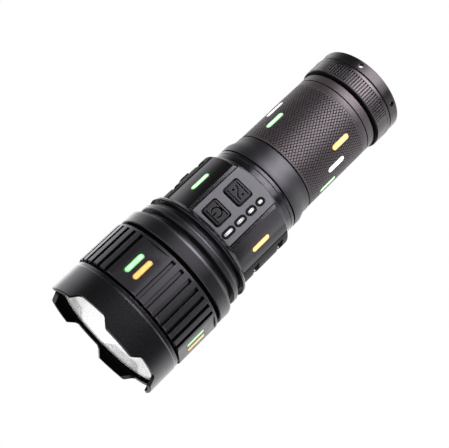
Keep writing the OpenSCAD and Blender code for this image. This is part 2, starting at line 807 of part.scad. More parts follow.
// Notch across a side cover with the screw's hole in its floor
module side_cover_holes(side) {
    for (y = screw_places) on_face(side, screw_seat_r, z_panel + y) {
        translate([0, 0, -side_cover_t]) cylinder(r = screw_r + slip, h = side_cover_t + eps);
        translate([0, 0, -screw_sink - slip]) cylinder(r = screw_head_r + slip, h = side_cover_t);
        linear_extrude(side_cover_t) square([2 * side_half_w, screw_notch_w], center = true);
    }
}

module port_side_cover() {
    color(anodised) difference() {
        side_rail(-90);
        side_cover_holes(-90);
        on_face(-90, side_apothem - 1, z_panel) linear_extrude(side_cover_r)
            translate([-flap_half_y - line_gap, -flap_half_z - 2 * slip])
                square([2 * flap_half_y + line_gap + flap_roll_r + flap_swing_gap,
                    2 * flap_half_z + 4 * slip]);
    }
}

module plain_side_cover() {
    color(anodised) difference() {
        side_rail(90);
        side_cover_holes(90);
    }
}

module side_screws() {
    reach = screw_seat_r - side_apothem + screw_bite;
    color(bare_steel) for (side = [-90, 90], y = screw_places) on_face(side, screw_seat_r, z_panel + y) {
        translate([0, 0, -screw_sink]) cylinder(r = screw_head_r, h = screw_sink + screw_proud);
        translate([0, 0, -reach]) cylinder(r = screw_r, h = reach - screw_sink + eps);
    }
}

module charge_port() {
    back_t = 1;
    tongue_w = 6.7;
    tongue_t = 0.7;
    tongue_inset = 1.4;
    color(bare_steel) on_face(-90, side_apothem - port_depth, z_panel) {
        linear_extrude(port_depth - 2 * slip) difference() {
            rounded_rect(port_w, port_h, port_h / 2 - slip);
            rounded_rect(port_w - 2 * port_wall, port_h - 2 * port_wall, port_h / 2 - slip - port_wall);
        }
        linear_extrude(back_t)
            rounded_rect(port_w - port_wall, port_h - port_wall, port_h / 2 - slip - port_wall);
        linear_extrude(port_depth - tongue_inset) square([tongue_w, tongue_t], center = true);
    }
}

module port_cover() {
    plug_w = port_w - 2 * port_wall - 2 * line_gap;
    plug_h = port_h - 2 * port_wall - line_gap;
    color(dark_rubber) {
        difference() {
            intersection() {
                translate([0, 0, z_panel - flap_half_z])
                    cylinder(r = side_cover_r - slip, h = 2 * flap_half_z);
                on_face(-90, flap_floor, z_panel) linear_extrude(side_cover_r)
                    square([2 * flap_half_y, 2 * flap_half_z], center = true);
            }
            translate([flap_roll_x + flap_roll_r, flap_half_y - strap_w, z_panel - flap_half_z - 1])
                cube([side_cover_t, strap_w + 1, 2 * flap_half_z + 2]);
        }
        translate([flap_roll_x, flap_half_y, z_panel - flap_half_z])
            cylinder(r = flap_roll_r, h = 2 * flap_half_z);
        on_face(-90, flap_floor + eps, z_panel) linear_extrude(flap_tab_r - flap_floor)
            rounded_rect(tab_w, tab_h, tab_corner);
        on_face(-90, side_apothem - plug_len, z_panel) linear_extrude(plug_len + 4 * slip)
            rounded_rect(plug_w, plug_h, plug_h / 2 - slip);
    }
}

module driver_spring() {
    color("goldenrod") coil(driver_tip_r, driver_coil_r, z_driver - driver_spring_len,
        z_driver - eps, coil_turns, wire_d);
}

module driver_ring() {
    ring_w = 1.6;
    ring_t = 1.2;
    notch_w = 1.6;
    color("goldenrod") difference() {
        ring(bore_r - slip, bore_r - ring_w, z_driver - ring_t, z_driver);
        for (side = [0, 180]) rotate([0, 0, side]) translate([bore_r - ring_w / 2, 0, z_driver - ring_t])
            cube([2 * ring_w, notch_w, ring_t], center = true);
    }
}

module driver_board() {
    color(board_green) translate([0, 0, z_driver]) cylinder(r = bore_r - 4 * slip, h = driver_board_t);
}

module driver_components() {
    coil_w = 7;
    coil_h = 3.4;
    chip_w = 4;
    chip_h = 1;
    small_w = 3;
    spacing = 0.6;
    color([0.12, 0.12, 0.13]) translate([0, 0, z_driver_top]) {
        translate([-coil_w / 2, spacing, 0]) cube([coil_w, coil_w, coil_h]);
        translate([-chip_w - spacing, -chip_w - spacing, 0]) cube([chip_w, chip_w, chip_h]);
        for (i = [0, 1]) translate([spacing + i * (small_w + spacing), -small_w - spacing, 0])
            cube([small_w, small_w, chip_h]);
    }
}

module led_leads() {
    stripped_len = 0.6;
    color("firebrick") for (x = [-lead_place, lead_place])
        translate([x, 0, z_driver_top]) cylinder(r = lead_r, h = z_led_top + stripped_len - z_driver_top);
}

module head_body() {
    edge = 0.3;
    collar_round = 0.5;
    collar_rise = 0.2;
    collar_rise_len = 1.2;
    color(anodised) difference() {
        rotate_extrude() polygon(concat(
            [[spigot_r + slip, z_head], [fin_floor_r, z_head], [fin_floor_r, z_fin]],
            rear_round(flange_r, z_fin, rear_round_r),
            [[flange_r, z_fin_front - edge], [flange_r - edge, z_fin_front], [fin_floor_r, z_fin_front],
                [fin_floor_r, z_collar]],
            rear_round(collar_r - collar_rise, z_collar, collar_round),
            [[collar_r, z_collar + collar_rise_len], [collar_r, z_collar_front - edge],
                [collar_r - edge, z_collar_front], [barrel_r, z_collar_front], [barrel_r, z_barrel_end],
                [cavity_r, z_barrel_end], [cavity_r, z_led], [0, z_led], [0, z_shelf],
                [spigot_r + slip, z_shelf]]
        ));
        for (x = [-lead_place, lead_place])
            translate([x, 0, z_shelf - 1]) cylinder(r = lead_hole_r, h = z_led - z_shelf + 2);
    }
}

module led_board() {
    color("peru") difference() {
        translate([0, 0, z_led]) cylinder(d = led_board_d, h = led_board_t);
        for (x = [-lead_place, lead_place])
            translate([x, 0, z_led - 1]) cylinder(r = lead_hole_r, h = led_board_t + 2);
    }
}

module led_emitter() {
    dome_margin = 0.4;
    dome_r = emitter_w / 2 - dome_margin;
    color("khaki") {
        translate([-emitter_w / 2, -emitter_w / 2, z_led_top]) cube([emitter_w, emitter_w, emitter_base_h]);
        intersection() {
            translate([0, 0, z_led_top + emitter_base_h]) sphere(dome_r);
            translate([0, 0, z_led_top + emitter_base_h - eps]) cylinder(r = dome_r + 1, h = dome_r + 1);
        }
    }
}

module emitter_gasket() {
    window = emitter_w + line_gap;
    foot_w = 1.5;
    foot_t = emitter_sink - bowl_base_t - slip;
    spigot_h = 0.4;
    color("white") difference() {
        union() {
            translate([0, 0, z_led_top]) cylinder(r = emitter_hole_r + foot_w, h = foot_t);
            translate([0, 0, z_led_top])
                cylinder(r = emitter_hole_r - 2 * slip, h = emitter_sink + spigot_h);
        }
        translate([-window / 2, -window / 2, z_led_top - 1])
            cube([window, window, emitter_sink + spigot_h + 2]);
    }
}

module reflector() {
    steps = 20;
    rim_back_t = 0.35;
    flange_out_r = barrel_r - 4 * slip;
    outer_top_r = min(bowl_radius(z_barrel_end + rim_back_t) + bowl_wall, cavity_r - slip);
    inner = [for (i = [0:steps])
        let (r = emitter_hole_r + (bowl_r - emitter_hole_r) * i / steps) [r, bowl_z(r)]];
    outer = [for (i = [steps:-1:0])
        let (r = emitter_hole_r + (outer_top_r - bowl_wall - emitter_hole_r) * i / steps)
        [r + bowl_wall, bowl_z(r) - bowl_base_t * (1 - i / steps) - rim_back_t * i / steps]];
    color([0.85, 0.86, 0.88]) rotate_extrude() polygon(concat(inner,
        [[flange_out_r, z_rim], [flange_out_r, z_barrel_end + eps], [outer_top_r, z_barrel_end + eps]],
        outer, [[emitter_hole_r, z_emitter_hole - bowl_base_t]]));
}

module lens_seal() {
    color("gainsboro") ring(lens_r - slip, bowl_r + slip, z_rim, z_lens);
}

module lens() {
    color([0.8, 0.9, 0.95, 0.4]) translate([0, 0, z_lens]) cylinder(r = lens_r, h = lens_t);
}

module head_sleeve() {
    edge = 0.3;
    flute_start = 1;
    flute_len = z_sleeve_front - z_sleeve - flute_start + eps;
    z_flute = z_sleeve + flute_start + flute_len / 2;
    color(anodised) difference() {
        rotate_extrude() polygon(concat(
            [[sleeve_bore_r, z_collar_front], [sleeve_neck_r, z_collar_front], [sleeve_neck_r, z_sleeve]],
            rear_round(head_r, z_sleeve, rear_round_r),
            [[head_r, z_sleeve_front - edge], [head_r - edge, z_sleeve_front],
                [sleeve_neck_r, z_sleeve_front], [sleeve_neck_r, z_bezel], [sleeve_bore_r, z_bezel]]
        ));
        for (p = [0:pads - 1]) {
            on_face(pad_angle + p * 360 / pads, pad_apothem, z_flute) linear_extrude(head_r)
                square([2 * head_r, flute_len], center = true);
            for (i = [0:flute_count - 1])
                on_face(pad_angle + (p + 0.5) * 360 / pads + (i - (flute_count - 1) / 2) * flute_pitch,
                    head_r - flute_depth, z_flute) linear_extrude(head_r)
                        square([flute_w, flute_len], center = true);
        }
        pad_bars(1, bar_slot_gap);
        pad_bars(-1, bar_slot_gap);
    }
}

module bezel_ring() {
    edge = 0.3;
    lip_edge = 0.3;
    tooth_bore_r = bezel_r - tooth_wall;
    z_tooth_bore = z_lens_front + lip_edge + tooth_bore_r - lip_r;
    valley_bevel = 0.6;
    rear_drop = 0.25;
    rear_land = 1.9;
    rear_rise_len = 0.5;
    floor_half = bezel_r * sin(valley_angle / 2);
    top_half = bezel_r * sin(valley_angle / 2 + flank_angle);
    run = (top_half - floor_half) / tooth_h;
    over = 1;
    color(anodised) difference() {
        rotate_extrude() polygon(concat(
            [[sleeve_bore_r, z_bezel]],
            rear_round(bezel_r - rear_drop, z_bezel, rear_round_r),
            [[bezel_r - rear_drop, z_bezel + rear_land],
                [bezel_r, z_bezel + rear_land + rear_rise_len], [bezel_r, z_tip - edge],
                [bezel_r - edge, z_tip], [tooth_bore_r + edge, z_tip], [tooth_bore_r, z_tip - edge],
                [tooth_bore_r, z_tooth_bore], [lip_r, z_lens_front + lip_edge], [lip_r, z_lens_front],
                [sleeve_bore_r, z_lens_front]]
        ));
        for (i = [0:teeth - 1])
            on_face(tooth_angle + (i + 0.5) * 360 / teeth, 0, z_valley)
                translate([0, 0, lip_r / 2]) linear_extrude(bezel_r) polygon([
                    [-floor_half + valley_bevel, 0], [floor_half - valley_bevel, 0],
                    [floor_half + run * valley_bevel, valley_bevel],
                    [top_half + run * over, tooth_h + over], [-top_half - run * over, tooth_h + over],
                    [-floor_half - run * valley_bevel, valley_bevel]
                ]);
    }
}

// One luminous bar, or its slot when gap is over zero
module bar(gap) {
    translate([0, 0, gap > 0 ? -bar_depth - gap : -bar_depth])
        linear_extrude(gap > 0 ? bar_depth + 2 : bar_depth) stadium(bar_w + 2 * gap, bar_len + 2 * gap);
}

// Bars of one colour round the tube
module tube_bars(step, gap) {
    for (i = [0:triplets - 1])
        on_face(bar_first_angle + step * bar_step_angle + i * 360 / triplets, tube_r,
            z_knurl + bar_first_z + step * bar_step_z) bar(gap);
}

// Bars of one colour on the head's pads, on the side that sx gives
module pad_bars(sx, gap) {
    for (p = [0:pads - 1])
        on_face(pad_angle + p * 360 / pads, pad_apothem, z_sleeve + sleeve_len / 2 + pad_bar_z)
            translate([sx * pad_bar_x, 0, 0]) bar(gap);
}

// Bar on a sloping face of the switch housing, on the side that sx gives
module slope_bar(sx, gap) {
    on_face(-sx * slope_angle, slope_apothem + slope_bulge, z_panel + slope_bar_z)
        translate([-sx * slope_bar_x - slope_bar_shift, 0, 0]) bar(gap);
}

module green_bars() {
    color("palegreen") {
        tube_bars(green_step, 0);
        pad_bars(1, 0);
        slope_bar(1, 0);
    }
}

module amber_bars() {
    color("orange") {
        tube_bars(amber_step, 0);
        pad_bars(-1, 0);
        slope_bar(-1, 0);
    }
}

module white_bars() {
    color("white") tube_bars(white_step, 0);
}

lanyard_ring();
snap_ring();
tail_cap();
tail_board();
tail_spring();
rear_seal();
battery_tube();
front_seal();
cell_can();
cell_wrap();
cell_insulator();
cell_cap();
switch_housing();
control_panel();
power_button();
mode_button();
keypad_seal();
tact_switches();
indicator_leds();
charge_windows();
switch_board();
port_side_cover();
plain_side_cover();
side_screws();
charge_port();
port_cover();
driver_spring();
driver_ring();
driver_board();
driver_components();
led_leads();
head_body();
led_board();
led_emitter();
emitter_gasket();
reflector();
lens_seal();
lens();
head_sleeve();
bezel_ring();
green_bars();
amber_bars();
white_bars();
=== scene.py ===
"""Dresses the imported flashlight: knurling, buttons, gauge, luminous bars, finishes and a studio round it."""

import math

import bmesh
import bpy
from bpy.props import FloatProperty, FloatVectorProperty, IntProperty, PointerProperty
from mathutils import Matrix, Vector


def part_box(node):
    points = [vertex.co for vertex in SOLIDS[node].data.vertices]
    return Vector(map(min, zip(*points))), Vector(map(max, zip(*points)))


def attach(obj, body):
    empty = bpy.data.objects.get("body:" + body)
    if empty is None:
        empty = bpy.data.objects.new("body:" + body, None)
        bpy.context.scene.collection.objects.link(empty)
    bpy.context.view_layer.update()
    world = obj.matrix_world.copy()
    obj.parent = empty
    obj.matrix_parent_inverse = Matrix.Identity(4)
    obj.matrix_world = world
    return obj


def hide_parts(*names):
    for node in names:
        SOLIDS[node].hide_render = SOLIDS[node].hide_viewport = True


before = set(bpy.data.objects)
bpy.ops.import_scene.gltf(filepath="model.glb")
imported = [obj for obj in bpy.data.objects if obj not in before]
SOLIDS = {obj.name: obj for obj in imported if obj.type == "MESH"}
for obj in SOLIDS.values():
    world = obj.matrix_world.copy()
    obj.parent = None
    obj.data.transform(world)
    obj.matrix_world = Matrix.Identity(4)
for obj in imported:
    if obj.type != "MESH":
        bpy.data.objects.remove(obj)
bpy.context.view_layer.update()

bl_info = {
    "name": "Rechargeable flashlight",
    "version": (1, 0, 0),
    "blender": (4, 5, 0),
    "location": "View3D > Sidebar > Flashlight",
    "description": "Builds the visible pieces and finishes of a knurled flashlight round its solids",
    "category": "Object",
}

MM = 0.001
UP = Vector((0, 0, 1))
CORNER_STEPS = 8
ROUND_STEPS = 48
TUBE_LOW, TUBE_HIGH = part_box("battery_tube")
PANEL_LOW, PANEL_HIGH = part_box("control_panel")
# Radius of the knurl, and the heights where it starts and ends
KNURL_R = 18.3 * MM
KNURL_LOW, KNURL_HIGH = 20.0 * MM, 51.75 * MM


def length_setting(name, description, millimetres):
    """Property of a length, with its default given in millimetres."""
    return FloatProperty(name=name, description=description, default=millimetres * MM, unit="LENGTH",
                         precision=5)


def angle_setting(name, description, degrees):
    """Property of an angle, with its default given in degrees."""
    return FloatProperty(name=name, description=description, default=math.radians(degrees), subtype="ANGLE")


def light_setting(name, description, default):
    """Property of a brightness."""
    return FloatProperty(name=name, description=description, default=default, precision=3)


def colour_setting(name, description, default):
    """Property of a finish's colour."""
    return FloatVectorProperty(name=name, description=description, default=default, subtype="COLOR",
                               min=0, max=1)


class TubeSizes(bpy.types.PropertyGroup):
    """Sizes of the knurled battery tube."""
    diamonds: IntProperty(name="Diamonds", description="Knurl diamonds round the tube", default=90, min=40)
    diamond_length: length_setting("Diamond length", "Length of a diamond along the axis", 2.11)
    diamond_depth: length_setting("Diamond depth", "Depth of the cuts between the diamonds", 0.26)
    diamond_flat: FloatProperty(name="Diamond flat", description="Share of a diamond with a flat top",
                                default=0.78, subtype="FACTOR", min=0.1, max=0.9)
    thread_lead: length_setting("Thread lead", "Advance of the rear thread in one turn", 1.5)
    thread_depth: length_setting("Thread depth", "Depth of the rear thread", 0.55)
    slot_gap: length_setting("Slot gap", "Gap round a luminous bar in its slot", 0.05)


class HeadSizes(bpy.types.PropertyGroup):
    """Sizes of the head's fluted sleeve and its bezel."""
    neck_length: length_setting("Neck length", "Length of the bare neck behind the sleeve", 1.8)
    front_neck: length_setting("Front neck", "Length of the bare neck in front of the sleeve", 1.0)
    rear_round: length_setting("Rear round", "Rounding of the solids that gives way to a corner", 0.9)
    rear_edge: length_setting("Rear edge", "Bevel of the rear corners", 0.12)
    bezel_land: length_setting("Bezel land", "Length of the lower land behind the bezel's step", 1.4)
    bezel_step: length_setting("Bezel step", "Height of the bezel's step", 0.25)


class ControlSizes(bpy.types.PropertyGroup):
    """Sizes of the buttons and the charge gauge."""
    button_edge: length_setting("Button edge", "Rounding of a button's edges", 0.22)
    button_margin: length_setting("Button margin", "How far a button's face lies inside its flange", 1.0)
    groove_inset: length_setting("Groove inset", "Place of a face's groove inside the face's edge", 0.95)
    groove_width: length_setting("Groove width", "Width of a groove across a button's face", 0.52)
    icon_stroke: length_setting("Icon stroke", "Width of an engraved icon's line", 0.58)
    icon_radius: length_setting("Icon radius", "Half the size of an engraved icon", 1.9)
    icon_depth: length_setting("Icon depth", "Depth of an engraved icon", 0.25)
    rim_outside: length_setting("Rim outside", "How far a window's rim lies on the panel", 0.42)
    rim_inside: length_setting("Rim inside", "How far a window's rim lies on the window", 0.56)
    rim_height: length_setting("Rim height", "Height of a window's rim above the panel", 0.12)
    numeral_height: length_setting("Numeral height", "Height of the gauge's numerals", 1.15)


class FinishColours(bpy.types.PropertyGroup):
    """Colours of the flashlight's finishes."""
    anodised: colour_setting("Anodised black", "Turned and milled aluminium parts", (0.0055, 0.0052, 0.0056))
    knurling: colour_setting("Knurled black", "Knurled tube", (0.026, 0.0215, 0.0235))
    film_tint: colour_setting("Film tint", "Cast of the anodised film's gloss", (0.92, 0.87, 1.0))
    knurl_tint: colour_setting("Knurl tint", "Cast of the gloss on tube and tail", (1.0, 0.86, 0.95))
    panel: colour_setting("Panel grey", "Blasted control panel", (0.060, 0.059, 0.064))
    button: colour_setting("Button black", "Push buttons", (0.010, 0.010, 0.011))
    rubber: colour_setting("Rubber black", "Port cover, side covers and keypad", (0.010, 0.010, 0.010))
    green_middle: colour_setting("Green middle", "Middle of a green bar", (0.56, 0.90, 0.54))
    green_edge: colour_setting("Green edge", "Edge of a green bar", (0.07, 0.32, 0.09))
    amber_middle: colour_setting("Amber middle", "Middle of an amber bar", (0.89, 0.63, 0.24))
    amber_edge: colour_setting("Amber edge", "Edge of an amber bar", (0.50, 0.245, 0.050))
    white_middle: colour_setting("White middle", "Middle of a white bar", (0.96, 0.96, 0.94))
    white_edge: colour_setting("White edge", "Edge of a white bar", (0.50, 0.50, 0.50))


class StudioSettings(bpy.types.PropertyGroup):
    """Camera and light of the studio."""
    camera_turn: angle_setting("Camera turn", "Angle of the camera from the panel's normal", 3.9)
    camera_tilt: angle_setting("Camera tilt", "Angle of the camera above the horizon", 19.0)
    camera_roll: angle_setting("Camera roll", "Angle of the flashlight's axis in the picture", 43.947)
    camera_distance: length_setting("Camera distance", "Distance from the camera to its aim", 405)
    aim_height: length_setting("Aim height", "Height of the camera's aim on the axis", 80.44)
    aim_side: length_setting("Aim side", "Offset of the camera's aim from the axis", 0.95)
    lens: FloatProperty(name="Lens", description="Focal length of the camera", default=86.6, unit="CAMERA")
    key_light: light_setting("Key light", "Brightness of the two soft boxes before the tube", 10.2)
    fill_light: light_setting("Fill light", "Brightness of the soft box at the side", 1.3)
    top_light: light_setting("Top light", "Brightness of the soft box above the head", 0.5)
    back_light: light_setting("Back light", "Brightness of the soft box behind the flashlight", 1.5)
    surround: light_setting("Surround", "Brightness of the wall behind the flashlight", 1.6)
    dark_side: light_setting("Dark side", "Brightness of the room at the camera's side", 0.004)


# Mesh helpers


def add_piece(name, solids, material=None, values=None, sharp_angle=32):
    """Makes one object of several closed skins, each given as points and faces in metres."""
    weld, sliver = 1e-7, 1e-8
    points, faces = [], []
    for skin_points, skin_faces in solids:
        start = len(points)
        points.extend(skin_points)
        faces.extend(tuple(start + i for i in face) for face in skin_faces)
    mesh = bpy.data.meshes.new(name)
    mesh.from_pydata(points, [], faces)
    if values is not None:
        layer = mesh.attributes.new("middle", "FLOAT", "POINT")
        layer.data.foreach_set("value", values)
    shape = bmesh.new()
    shape.from_mesh(mesh)
    bmesh.ops.remove_doubles(shape, verts=shape.verts, dist=weld)
    bmesh.ops.dissolve_degenerate(shape, edges=shape.edges, dist=sliver)
    shape.to_mesh(mesh)
    shape.free()
    if not mesh.polygons:
        raise RuntimeError(f"{name} has no faces")
    shade(mesh, sharp_angle)
    if material is not None:
        mesh.materials.append(material)
    return link_object(name, mesh)


def link_object(name, data):
    """New object in the scene that shows the data."""
    piece = bpy.data.objects.new(name, data)
    bpy.context.scene.collection.objects.link(piece)
    return piece


def shade(mesh, sharp_angle):
    """Smooth shading that keeps edges over the angle sharp."""
    mesh.shade_smooth()
    mesh.set_sharp_from_angle(angle=math.radians(sharp_angle))


def set_materials(piece, *materials):
    """Gives a piece its finishes, in the order of its polygons' indices."""
    slots = piece.data.materials
    slots.clear()
    for material in materials:
        slots.append(material)


def loft(rings, ends=True):
    """Closed skin through rings of equal count, each counter-clockwise seen from the last ring's side.

    Without ends, the rings run round the section of a ring-shaped solid, and the last joins the first.
    """
    count = len(rings[0])
    points = [point for ring in rings for point in ring]
    starts = [i * count for i in range(len(rings))]
    nexts = starts[1:] if ends else starts[1:] + starts[:1]
    faces = []
    for a, b in zip(starts, nexts):
        for k in range(count):
            n = (k + 1) % count
            faces.append((a + k, a + n, b + n, b + k))
    if ends:
        faces.append(tuple(reversed(range(count))))
        faces.append(tuple(range(starts[-1], starts[-1] + count)))
    return points, faces


def flipped(solid):
    """The solid with its faces turned the other way out."""
    return solid[0], [tuple(reversed(face)) for face in solid[1]]


def moved(solid, place):
    """The solid with every point put through the place's matrix."""
    return [place @ Vector(point) for point in solid[0]], solid[1]


def rounded_ring(width, height, radius, z):
    """Rounded rectangle at a height, counter-clockwise."""
    points = []
    for sx, sy, start in ((1, 1, 0), (-1, 1, 90), (-1, -1, 180), (1, -1, 270)):
        for k in range(CORNER_STEPS + 1):
            angle = math.radians(start + 90 * k / CORNER_STEPS)
            points.append((sx * (width / 2 - radius) + radius * math.cos(angle),
                           sy * (height / 2 - radius) + radius * math.sin(angle), z))
    return points


def bar_ring(width, length, inset, z):
    """Outline of a bar with round ends, drawn in by the inset."""
    return rounded_ring(width - 2 * inset, length - 2 * inset, width / 2 - inset, z)


def circle_ring(radius, z, corners=ROUND_STEPS, flats=0):
    """Circle at a height, or a polygon of that many flats with the same number of points."""
    points = []
    for k in range(corners):
        angle = 2 * math.pi * k / corners
        reach = radius
        if flats:
            half = math.pi / flats
            reach = radius * math.cos(half) / math.cos((angle % (2 * half)) - half)
        points.append((reach * math.cos(angle), reach * math.sin(angle), z))
    return points


def stroke(path, width, low, high):
    """Line of square section along a flat path, from one height to another."""
    sections = []
    for i, point in enumerate(path):
        before = Vector(path[max(i - 1, 0)])
        after = Vector(path[min(i + 1, len(path) - 1)])
        along = (after - before).normalized()
        side = Vector((-along.y, along.x)) * (width / 2)
        left, right = Vector(point) + side, Vector(point) - side
        sections.append([(left.x, left.y, low), (right.x, right.y, low),
                         (right.x, right.y, high), (left.x, left.y, high)])
    return flipped(loft(sections))


def on_face(angle, apothem, z):
    """Matrix of a face round the axis: +Z points out from the axis and +Y lies along it."""
    return (Matrix.Rotation(math.radians(-angle), 4, "Z") @ Matrix.Translation((0, -apothem, z))
            @ Matrix.Rotation(math.radians(90), 4, "X"))


def on_panel(low, high, y):
    """Matrix at the middle of a box, on the plane at y that faces the panel's side."""
    return on_face(0, -y, (low.z + high.z) / 2) @ Matrix.Translation(((low.x + high.x) / 2, 0, 0))


def cut(piece, cutter):
    """Takes the cutter out of the piece and removes the cutter."""
    corners = len(piece.data.vertices)
    modifier = piece.modifiers.new("cut", "BOOLEAN")
    modifier.operation = "DIFFERENCE"
    modifier.solver = "MANIFOLD"
    modifier.object = cutter
    bpy.context.view_layer.update()
    depsgraph = bpy.context.evaluated_depsgraph_get()
    mesh = bpy.data.meshes.new_from_object(piece.evaluated_get(depsgraph))
    piece.modifiers.clear()
    old = piece.data
    piece.data = mesh
    bpy.data.meshes.remove(old)
    bpy.data.objects.remove(cutter)
    if len(mesh.vertices) == corners:
        raise RuntimeError(f"nothing was cut from {piece.name}")


def separate_solids(node):
    """Polygons of each separate solid of a node."""
    mesh = SOLIDS[node].data
    welded = {}
    corner = [welded.setdefault(tuple(round(c, 6) for c in v.co), len(welded)) for v in mesh.vertices]
    parent = list(range(len(welded)))

    def root(i):
        while parent[i] != i:
            parent[i] = parent[parent[i]]
            i = parent[i]
        return i

    for polygon in mesh.polygons:
        first = root(corner[polygon.vertices[0]])
        for i in polygon.vertices[1:]:
            parent[root(corner[i])] = first
    groups = {}
    for polygon in mesh.polygons:
        groups.setdefault(root(corner[polygon.vertices[0]]), []).append(polygon)
    return list(groups.values())


def solid_points(node, polygons):
    """Corners of one separate solid of a node."""
    vertices = SOLIDS[node].data.vertices
    return [vertices[i].co for polygon in polygons for i in polygon.vertices]


def solid_boxes(node):
    """Lowest and highest corner of each separate solid of a node."""
    boxes = []
    for polygons in separate_solids(node):
        spans = list(zip(*solid_points(node, polygons)))
        boxes.append((Vector([min(span) for span in spans]), Vector([max(span) for span in spans])))
    return boxes


def reshaped(node, rule):
    """Points and faces of a turned solid, each corner's radius and height put through the rule."""
    mesh = SOLIDS[node].data
    points = []
    for vertex in mesh.vertices:
        x, y, z = vertex.co
        radius = math.hypot(x, y)
        new_radius, new_z = rule(radius, z)
        points.append((x * new_radius / radius, y * new_radius / radius, new_z))
    return points, [tuple(polygon.vertices) for polygon in mesh.polygons]


def bar_places(node):
    """Matrix, width, length and depth of each bar of a node, its outer face at height zero."""
    facing = 0.8
    places = []
    for polygons in separate_solids(node):
        points = solid_points(node, polygons)
        middle = sum(points, Vector()) / len(points)
        outward = Vector((middle.x, middle.y, 0))
        flats = [p for p in polygons if p.normal.dot(outward) > facing * outward.length]
        face = max(flats, key=lambda p: p.area)
        normal = Vector((face.normal.x, face.normal.y, 0)).normalized()
        across = UP.cross(normal).normalized() * -1
        outs = [point.dot(normal) for point in points]
        sides = [point.dot(across) for point in points]
        heights = [point.z for point in points]
        origin = (normal * max(outs) + across * (max(sides) + min(sides)) / 2
                  + Vector((0, 0, (max(heights) + min(heights)) / 2)))
        place = Matrix((across, normal.cross(across), normal)).transposed().to_4x4()
        place.translation = origin
        places.append((place, max(sides) - min(sides), max(heights) - min(heights), max(outs) - min(outs)))
    return places


# Material helpers. Grains, reliefs and reaches are in metres.

FINE_GRAIN, BROAD_GRAIN, TURNED_GRAIN, MOULDED_PATCH = 0.22 * MM, 11 * MM, 0.28 * MM, 6 * MM
TURNED_SQUEEZE = (0.02, 0.02, 1.0)
TURNED_RELIEF, COARSE_RELIEF = 0.014 * MM, 0.02 * MM
# Light grey of the rubbed edges: bare metal worn through, and on the buttons a painted highlight.
RUBBED_METAL_AND_HIGHLIGHT = (0.16, 0.158, 0.162)
LEAST_RUB_AND_HIGHLIGHT = 0.3
PANEL_POLISH = 0.09
# The crevice tone and the crevice gloss paint shade into crevices and grooves.
DARK_PATCH, LIGHT_PATCH, PAINTED_CREVICE_SHADE = 0.8, 1.2, 0.15
PAINTED_SHADE_GLOSS, OPEN_GLOSS = 0.06, 0.5
# Near-black of the painted shade in engraved lines and on shaded necks.
PAINTED_SHADE_BLACK = (0.002, 0.002, 0.002)
WHITE = (1.0, 1.0, 1.0, 1.0)


def fill_socket(tree, socket, value):
    """Links a socket to another one, or sets its own value."""
    if isinstance(value, bpy.types.NodeSocket):
        tree.links.new(value, socket)
    else:
        socket.default_value = value


def add_node(tree, kind, inputs=None, **settings):
    """Adds a node, sets its options, and fills or links its sockets."""
    node = tree.nodes.new(kind)
    for key, value in settings.items():
        setattr(node, key, value)
    for key, value in (inputs or {}).items():
        fill_socket(tree, node.inputs[key], value)
    return node


def start_finish(name):
    """New material with its node tree and its shader."""
    material = bpy.data.materials.new(name)
    material.use_nodes = True
    tree = material.node_tree
    return material, tree, tree.nodes["Principled BSDF"]


def set_shader(tree, shader, **sockets):
    """Fills or links sockets of the shader, named with underscores for spaces."""
    for key, value in sockets.items():
        fill_socket(tree, shader.inputs[key.replace("_", " ")], value)


def combine(tree, operation, first, second, clamp=False):
    """Result of a calculation with two values."""
    node = add_node(tree, "ShaderNodeMath", {0: first, 1: second}, operation=operation, use_clamp=clamp)
    return node.outputs[0]


def dot(tree, first, second):
    """Dot product of two vectors."""
    node = add_node(tree, "ShaderNodeVectorMath", {0: first, 1: second}, operation="DOT_PRODUCT")
    return node.outputs["Value"]


def object_place(tree):
    """Place on the object, from the middle of the tail's end."""
    return add_node(tree, "ShaderNodeTexCoord").outputs["Object"]


def object_height(tree):
    """Height on the object, from the tail's end."""
    return add_node(tree, "ShaderNodeSeparateXYZ", {0: object_place(tree)}).outputs["Z"]


def grain(tree, size, detail=3.0, squeeze=None):
    """Noise with grains of the given size, squeezed along an axis where a vector is given."""
    place = object_place(tree)
    if squeeze is not None:
        squeezed = add_node(tree, "ShaderNodeVectorMath", {0: place, 1: squeeze}, operation="MULTIPLY")
        place = squeezed.outputs[0]
    noise = add_node(tree, "ShaderNodeTexNoise", {"Vector": place, "Scale": 1 / size, "Detail": detail})
    return noise.outputs[0]


def spread(tree, value, low, high, start=0.3, end=0.7, curve="LINEAR"):
    """Maps a value between the start and the end to a range. The usual ends are those of a noise."""
    return add_node(tree, "ShaderNodeMapRange", {0: value, 1: start, 2: end, 3: low, 4: high},
                    interpolation_type=curve).outputs[0]


def mix_colours(tree, factor, first, second):
    """Colour between two by a factor."""
    node = add_node(tree, "ShaderNodeMix", {0: factor, 6: first, 7: second}, data_type="RGBA")
    return node.outputs[2]


def shaded(colour, share=1.0):
    """The colour made lighter or darker by the share, with an alpha of one."""
    return tuple(min(1.0, c * share) for c in colour[:3]) + (1.0,)


def bump(tree, height, distance, normal=None):
    """Bump of a relief over an optional normal."""
    inputs = {"Height": height, "Distance": distance, "Strength": 1.0}
    if normal is not None:
        inputs["Normal"] = normal
    return add_node(tree, "ShaderNodeBump", inputs).outputs[0]


def worn_and_highlit_edges(tree, radius):
    """Rounded normal and a mask of the edges, where a hand rubs wear and where highlights are painted."""
    full_edge, no_edge = 0.80, 0.98
    rounded = add_node(tree, "ShaderNodeBevel", {"Radius": radius}, samples=6).outputs[0]
    true = add_node(tree, "ShaderNodeNewGeometry").outputs["Normal"]
    return rounded, spread(tree, dot(tree, rounded, true), 1.0, 0.0, full_edge, no_edge)


